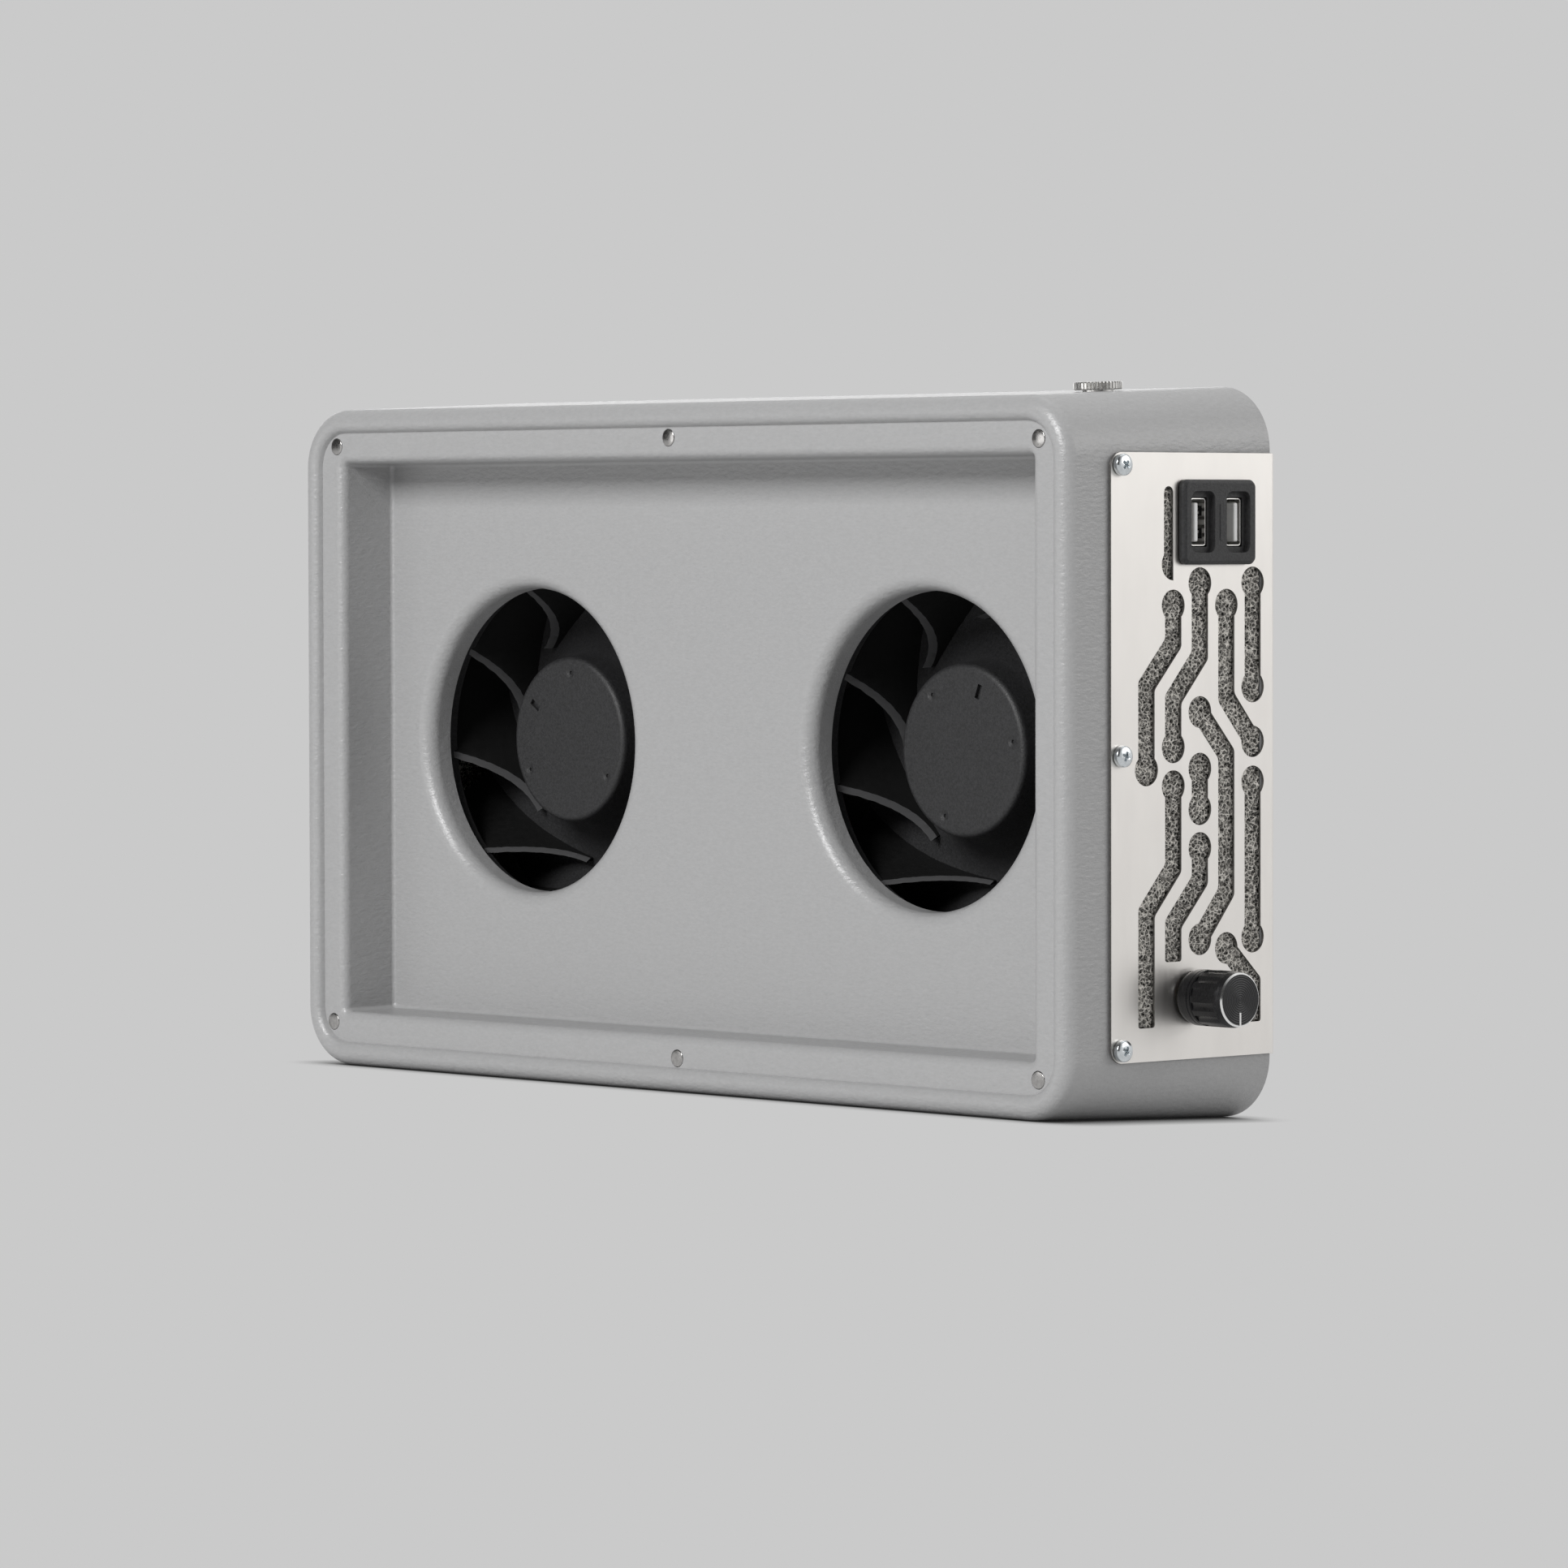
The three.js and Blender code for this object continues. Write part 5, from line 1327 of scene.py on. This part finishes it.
class EXTRACTOR_OT_charging_socket(bpy.types.Operator):
    """Makes the charging socket: bezel, port shells and contact carriers"""

    bl_idname = "extractor.charging_socket"
    bl_label = "Charging socket"

    def execute(self, context):
        sizes = context.scene.extractor_controls
        place = wall_place("right", SOCKET_ALONG, 0, SOCKET_Z)
        face, pocket = -sizes.socket_face, 1.8 * MM
        port_x = (-sizes.port_pitch / 2, sizes.port_pitch / 2)
        bezel = self.bezel(sizes, face, pocket, port_x)
        hand_over(moved(bezel, place), "charger_face", "root", [finish("black_plastic")],
                  ["charger_bezel"], 32)
        mouth = face + pocket + 0.35 * MM
        for i, x in enumerate(port_x):
            facing = (-1, 1)[i]
            liner = moved(self.liner(mouth), place @ Matrix.Translation((x, 0, 0)))
            hand_over(liner, f"port_liner_{i + 1}", "root", [finish("nickel")],
                      [f"charger_port_shell_{i + 1}"], 32)
            carrier = moved(self.carrier(mouth, facing), place @ Matrix.Translation((x, 0, 0)))
            hand_over(carrier, f"port_carrier_{i + 1}", "root",
                      [finish("white_plastic"), finish("nickel")], [f"charger_port_tongue_{i + 1}"], 32)
        return {"FINISHED"}

    def bezel(self, sizes, face, pocket, port_x):
        """Rounded plate with a chamfered rim, two pockets and the body behind it."""
        w, h = sizes.socket_w / 2, sizes.socket_h / 2
        plate = block(-w, w, face, -CLEAR, -h, h)
        choose(plate, "EDGE", lambda a, b: abs(a.x - b.x) < WELD and abs(a.z - b.z) < WELD)
        bpy.ops.mesh.bevel(offset=2.2 * MM, segments=7, affect="EDGES")
        choose(plate, "EDGE", lambda a, b: max(a.y, b.y) < face + WELD)
        bpy.ops.mesh.bevel(offset=1.05 * MM, segments=2, profile=0.35, affect="EDGES")
        to_object_mode()
        body = block(-SOCKET_BODY_W / 2, SOCKET_BODY_W / 2, -0.8 * MM, 14 * MM,
                     -SOCKET_BODY_H / 2, SOCKET_BODY_H / 2)
        carve(plate, body, operation="UNION")
        for x in port_x:
            hollow = block(x - 4.5 * MM, x + 4.5 * MM, face - 1 * MM, face + pocket, -8.4 * MM, 8.4 * MM)
            choose(hollow, "EDGE", lambda a, b: abs(a.x - b.x) < WELD and abs(a.z - b.z) < WELD)
            bpy.ops.mesh.bevel(offset=2.1 * MM, segments=6, affect="EDGES")
            bore = block(x - 3.1 * MM, x + 3.1 * MM, face - 1 * MM, 15 * MM, -6.8 * MM, 6.8 * MM)
            carve(plate, hollow, bore)
        soften(plate, 0.22 * MM, 2, 45)
        bar = block(-0.45 * MM, 0.45 * MM, face - 0.22 * MM, face + 0.3 * MM, -5 * MM, 5 * MM)
        soften(bar, 0.16 * MM, 2, 45)
        return joined([plate, bar])

    def liner(self, mouth):
        """Sheet-metal port shell with two spring windows in each of its wide walls."""
        w, h, wall, deep = 2.85 * MM, 6.55 * MM, 0.28 * MM, 12.5 * MM
        tube = block(-w, w, mouth, mouth + deep, -h, h)
        choose(tube, "EDGE", lambda a, b: abs(a.x - b.x) < WELD and abs(a.z - b.z) < WELD)
        bpy.ops.mesh.bevel(offset=0.8 * MM, segments=4, affect="EDGES")
        choose(tube, "FACE", lambda c, n: abs(n.y) > 0.9)
        bpy.ops.mesh.delete(type="FACE")
        apply_modifier(tube, "SOLIDIFY", thickness=wall, offset=-1, use_even_offset=True)
        windows, tabs = [], []
        springs = [(z, sign) for z in (-3.1 * MM, 3.1 * MM) for sign in (-1, 1)]
        for z, sign in springs:
            x = sign * w
            windows.append(block(x - 0.6 * MM, x + 0.6 * MM, mouth + 1.3 * MM, mouth + 5 * MM,
                                 z - 1.35 * MM, z + 1.35 * MM))
        carve(tube, joined(windows))
        for z, sign in springs:
            tab = block(-0.15 * MM, 0.15 * MM, 0, 2.6 * MM, -0.85 * MM, 0.85 * MM)
            home = Matrix.Translation((sign * (w - 0.25 * MM), mouth + 2.3 * MM, z))
            tabs.append(moved(tab, home @ Matrix.Rotation(sign * 0.16, 4, "Z")))
        soften(tube, 0.07 * MM, 2, 50)
        return joined([tube, *tabs])

    def carrier(self, mouth, facing):
        """Contact carrier with four contacts, set towards one wide wall."""
        near, far = sorted((facing * 0.1 * MM, facing * 1.7 * MM))
        tongue = block(near, far, mouth - 0.1 * MM, mouth + 11 * MM, -5.4 * MM, 5.4 * MM)
        soften(tongue, 0.45 * MM, 3, 45)
        heel = block(-2.1 * MM, 2.1 * MM, mouth + 10 * MM, mouth + 12.8 * MM, -5.8 * MM, 5.8 * MM)
        contacts = []
        for z in (-3.5, -1.2, 1.2, 3.5):
            contact = block(far - 0.12 * MM, far + 0.12 * MM, mouth + 2 * MM, mouth + 10 * MM,
                            (z - 0.5) * MM, (z + 0.5) * MM)
            for polygon in contact.data.polygons:
                polygon.material_index = 1
            contacts.append(contact)
        for piece in (tongue, heel, *contacts):
            piece.data.materials.append(finish("white_plastic"))
            piece.data.materials.append(finish("nickel"))
        return joined([tongue, heel, *contacts])


# ------------------------------------------------------------------ speed knob


class EXTRACTOR_OT_knob(bpy.types.Operator):
    """Makes the fluted speed knob with its bright rim and pointer"""

    bl_idname = "extractor.knob"
    bl_label = "Knob"

    def execute(self, context):
        sizes = context.scene.extractor_controls
        radius, top, gap = sizes.knob + 0.3 * MM, -sizes.knob_top, -0.8 * MM
        rim = sizes.knob - 0.5 * MM
        bore, seat = 5.8 * MM, -4.5 * MM
        points = [(0, top), (rim, top), (sizes.knob - 0.02 * MM, top + 0.4 * MM),
                  (sizes.knob, top + 0.6 * MM), (radius - 0.1 * MM, top + 1.9 * MM),
                  (radius, top + 2.2 * MM)]
        for groove in (-6.2 * MM, -4.9 * MM):
            points += [(radius, groove - 0.22 * MM), (radius - 0.25 * MM, groove - 0.08 * MM),
                       (radius - 0.25 * MM, groove + 0.08 * MM), (radius, groove + 0.22 * MM)]
        points += [(radius, -2.6 * MM), (radius - 0.35 * MM, -2.4 * MM), (radius - 0.35 * MM, -1.5 * MM),
                   (radius - 0.6 * MM, gap), (bore, gap), (bore, seat), (3.3 * MM, seat),
                   (3.3 * MM, top + 3.7 * MM), (0, top + 3.7 * MM)]
        knob = turned(points, 144)
        place = wall_place("right", KNOB_ALONG, 0, KNOB_Z)
        face = spun_face(context.scene.extractor_finishes, place @ Vector((0, top, 0)))
        looks = [finish("black_anodised"), face, finish("bare_aluminium"), finish("white_paint")]
        flutes = []
        reach = radius + 1.95 * MM
        for i in range(sizes.flutes):
            a = 2 * math.pi * (i + 0.5) / sizes.flutes
            flute = post(2.4 * MM, top + 2.9 * MM, -6.6 * MM, sides=40)
            flutes.append(moved(flute, Matrix.Translation((reach * math.cos(a), 0, reach * math.sin(a)))))
        carve(knob, joined(flutes))
        for polygon in knob.data.polygons:
            r = math.hypot(polygon.center.x, polygon.center.z)
            if polygon.center.y < top + 0.42 * MM:
                polygon.material_index = 2 if r > rim - WELD else 1
        pointer = block(-0.3 * MM, 0.3 * MM, top - 0.03 * MM, top + 0.3 * MM,
                        -rim - 0.35 * MM, -rim + 3.5 * MM)
        for polygon in pointer.data.polygons:
            polygon.material_index = 3
        for look in looks:
            knob.data.materials.append(look)
            pointer.data.materials.append(look)
        knob = joined([knob, pointer])
        hand_over(moved(knob, place), "turned_knob", "speed_knob", looks,
                  ["speed_knob"], 28)
        return {"FINISHED"}


# ------------------------------------------------------------------ power inlet


class EXTRACTOR_OT_power_inlet(bpy.types.Operator):
    """Makes the power inlet on the top wall with its knurled ring"""

    bl_idname = "extractor.power_inlet"
    bl_label = "Power inlet"

    def execute(self, context):
        teeth = context.scene.extractor_controls.teeth
        place = top_place(*INLET_AT)
        radius, hole, low, top = 6.8 * MM, INLET_HOLE, -CLEAR, -2.6 * MM
        ease = 0.35 * MM
        ring = turned([(hole, low), (radius - ease, low), (radius, low - ease), (radius, top + ease),
                       (radius - ease, top), (hole + ease, top), (hole, top + ease), (hole, low)], teeth * 4)
        choose(ring, "VERT", lambda co: math.hypot(co.x, co.z) > radius - 2 * ease
               and round(math.degrees(math.atan2(co.z, co.x)) / (90 / teeth)) % 4 == 0)
        bpy.ops.transform.resize(value=(0.945, 1, 0.945), center_override=(0, 0, 0))
        to_object_mode()
        hand_over(moved(ring, place), "knurled_ring", "root", [finish("nickel")],
                  ["power_socket_ring"], 24, flat_first=False)
        wide, bore, pin = 4.4 * MM, 2.9 * MM, 1.0 * MM
        under, deep, floor = 2.5 * MM, 13 * MM, 11.5 * MM
        body = turned([(0, deep), (wide + 2.4 * MM, deep), (wide + 2.4 * MM, under), (wide, under),
                       (wide, top + 0.5 * MM), (wide - 0.2 * MM, top + 0.3 * MM),
                       (bore + 0.3 * MM, top + 0.3 * MM),
                       (bore, top + 0.6 * MM), (bore, floor), (pin, floor), (pin, top + 3.4 * MM),
                       (pin * 0.6, top + 3 * MM), (0, top + 3 * MM)], 64)
        hand_over(moved(body, place), "inlet_body", "root", [finish("nickel")],
                  ["power_socket"], 30)
        return {"FINISHED"}


# ------------------------------------------------------------------ inner pieces


class EXTRACTOR_OT_inner_pieces(bpy.types.Operator):
    """Gives the motors, boards and the control their finishes"""

    bl_idname = "extractor.inner_pieces"
    bl_label = "Inner pieces"

    def execute(self, context):
        slots = {part["node"]: part["material_slot"] for part in frame["record"]["subparts"]}
        for name, node in frame["nodes"].items():
            look = finish(slots[name])
            for slot in node.material_slots:
                slot.material = look
        return {"FINISHED"}


# ------------------------------------------------------------------ stage


def softbox(name, home, width, height, power, colour):
    """A soft rectangular light aimed at the middle of the object."""
    light = bpy.data.lights.new(name, "AREA")
    light.shape = "RECTANGLE"
    light.size = width
    light.size_y = height
    light.energy = power
    light.color = colour
    lamp = bpy.data.objects.new(name, light)
    lamp.location = home
    middle = Vector((0, 0, 100 * MM))
    lamp.rotation_euler = (middle - Vector(home)).to_track_quat("-Z", "Y").to_euler()
    bpy.context.scene.collection.objects.link(lamp)


class EXTRACTOR_OT_stage(bpy.types.Operator):
    """Sets the floor, the lights, the backdrop and the camera"""

    bl_idname = "extractor.stage"
    bl_label = "Stage"

    def execute(self, context):
        look = context.scene.extractor_finishes
        to_object_mode()
        bpy.ops.mesh.primitive_circle_add(vertices=96, radius=4, fill_type="NGON")
        floor = context.object
        floor.name = "floor"
        floor.data.materials.append(finish("floor"))
        rear_low = CENTRE.z - HALF_H
        floor.location = (CENTRE.x, 0, rear_low + DRAFT * (LEDGE_Y + REAR_Y) - 0.02 * MM)
        floor.rotation_euler = (-LEAN, 0, 0)
        for light in self.LIGHTS:
            softbox(*light)
        self.backdrop(look.backdrop)
        self.camera(context.scene)
        context.scene.view_settings.view_transform = "Standard"
        context.scene.view_settings.look = "None"
        return {"FINISHED"}

    # name, place, width, height, watts, colour
    LIGHTS = (
        ("key", (0.22, -2.2, 1.35), 1.0, 0.9, 55, (1, 1, 1)),
        ("low_fill", (-0.9, -1.9, 0.2), 1.3, 0.35, 2.5, (1, 1, 1)),
        ("end_panel", (1.9, 1.5, 1.0), 1.6, 1.2, 11.5, (1, 0.985, 0.965)),
        ("overhead", (0.0, 0.45, 1.7), 1.6, 1.1, 3, (1, 1, 1)),
        ("rear_left", (-2.0, 1.9, 0.5), 1.6, 0.8, 6, (1, 1, 1)),
    )

    def backdrop(self, colour):
        """An even backdrop for the camera; for the light, a bright wall behind and a dim room in front."""
        world = bpy.data.worlds.new("studio")
        bpy.context.scene.world = world
        world.use_nodes = True
        nodes, links = world.node_tree.nodes, world.node_tree.links
        nodes.clear()
        output = nodes.new("ShaderNodeOutputWorld")
        seen = nodes.new("ShaderNodeBackground")
        seen.inputs["Color"].default_value = (*colour, 1)
        around = nodes.new("ShaderNodeBackground")
        room = nodes.new("ShaderNodeTexCoord")
        axes = nodes.new("ShaderNodeSeparateXYZ")
        level = nodes.new("ShaderNodeMapRange")
        for key, value in (("From Min", -0.35), ("From Max", 0.45), ("To Min", 0.06), ("To Max", 0.95)):
            level.inputs[key].default_value = value
        mix = nodes.new("ShaderNodeMixShader")
        path = nodes.new("ShaderNodeLightPath")
        links.new(room.outputs["Generated"], axes.inputs["Vector"])
        links.new(axes.outputs["Y"], level.inputs["Value"])
        links.new(level.outputs["Result"], around.inputs["Strength"])
        links.new(path.outputs["Is Camera Ray"], mix.inputs["Fac"])
        links.new(around.outputs["Background"], mix.inputs[1])
        links.new(seen.outputs["Background"], mix.inputs[2])
        links.new(mix.outputs["Shader"], output.inputs["Surface"])

    def camera(self, scene):
        """A long lens from the control end, a little above the middle."""
        yaw, pitch, roll = math.radians(46.602), math.radians(2.009), math.radians(-0.124)
        back = Vector((math.sin(yaw) * math.cos(pitch), -math.cos(yaw) * math.cos(pitch), math.sin(pitch)))
        data = bpy.data.cameras.new("camera")
        data.sensor_width = 36
        data.lens = 160.62
        data.clip_start, data.clip_end = 0.05, 50
        camera = bpy.data.objects.new("camera", data)
        scene.collection.objects.link(camera)
        camera.location = (CENTRE.x + 1486.9 * MM, LEDGE_Y - 1360.5 * MM, CENTRE.z + 60.1 * MM)
        camera.rotation_mode = "QUATERNION"
        level = (-back).to_track_quat("-Z", "Y")
        camera.rotation_quaternion = level @ Matrix.Rotation(roll, 3, "Z").to_quaternion()
        scene.camera = camera


# ------------------------------------------------------------------ panel and registration


STEPS = ("inner_pieces", "tray_shell", "steel_cover", "foam_filters", "impellers", "magnets", "screws",
         "charging_socket", "knob", "power_inlet", "stage")


class EXTRACTOR_PT_panel(bpy.types.Panel):
    """Lists the steps of the model in the sidebar"""

    bl_idname = "EXTRACTOR_PT_panel"
    bl_label = "Dust extractor"
    bl_space_type = "VIEW_3D"
    bl_region_type = "UI"
    bl_category = "Extractor"

    def draw(self, context):
        for step in STEPS:
            self.layout.operator(f"extractor.{step}")
        for group in GROUPS:
            settings = getattr(context.scene, group)
            for name in settings.bl_rna.properties.keys():
                if name not in ("rna_type", "name"):
                    self.layout.prop(settings, name)


GROUPS = {"extractor_shell": ShellSizes, "extractor_cover": CoverSizes, "extractor_fan": FanSizes,
          "extractor_controls": ControlSizes, "extractor_finishes": Finishes}

CLASSES = (*GROUPS.values(), EXTRACTOR_OT_inner_pieces, EXTRACTOR_OT_tray_shell, EXTRACTOR_OT_steel_cover,
           EXTRACTOR_OT_foam_filters, EXTRACTOR_OT_impellers, EXTRACTOR_OT_magnets, EXTRACTOR_OT_screws,
           EXTRACTOR_OT_charging_socket, EXTRACTOR_OT_knob, EXTRACTOR_OT_power_inlet, EXTRACTOR_OT_stage,
           EXTRACTOR_PT_panel)


def register():
    """Registers the classes and hangs the settings on the scene."""
    for cls in CLASSES:
        bpy.utils.register_class(cls)
    for name, group in GROUPS.items():
        setattr(bpy.types.Scene, name, PointerProperty(type=group))


def unregister():
    """Takes the settings and the classes away again."""
    for name in GROUPS:
        delattr(bpy.types.Scene, name)
    for cls in reversed(CLASSES):
        bpy.utils.unregister_class(cls)


def main():
    """Makes every piece in order."""
    register()
    for step in STEPS:
        getattr(bpy.ops.extractor, step)()


if __name__ == "__main__":
    main()
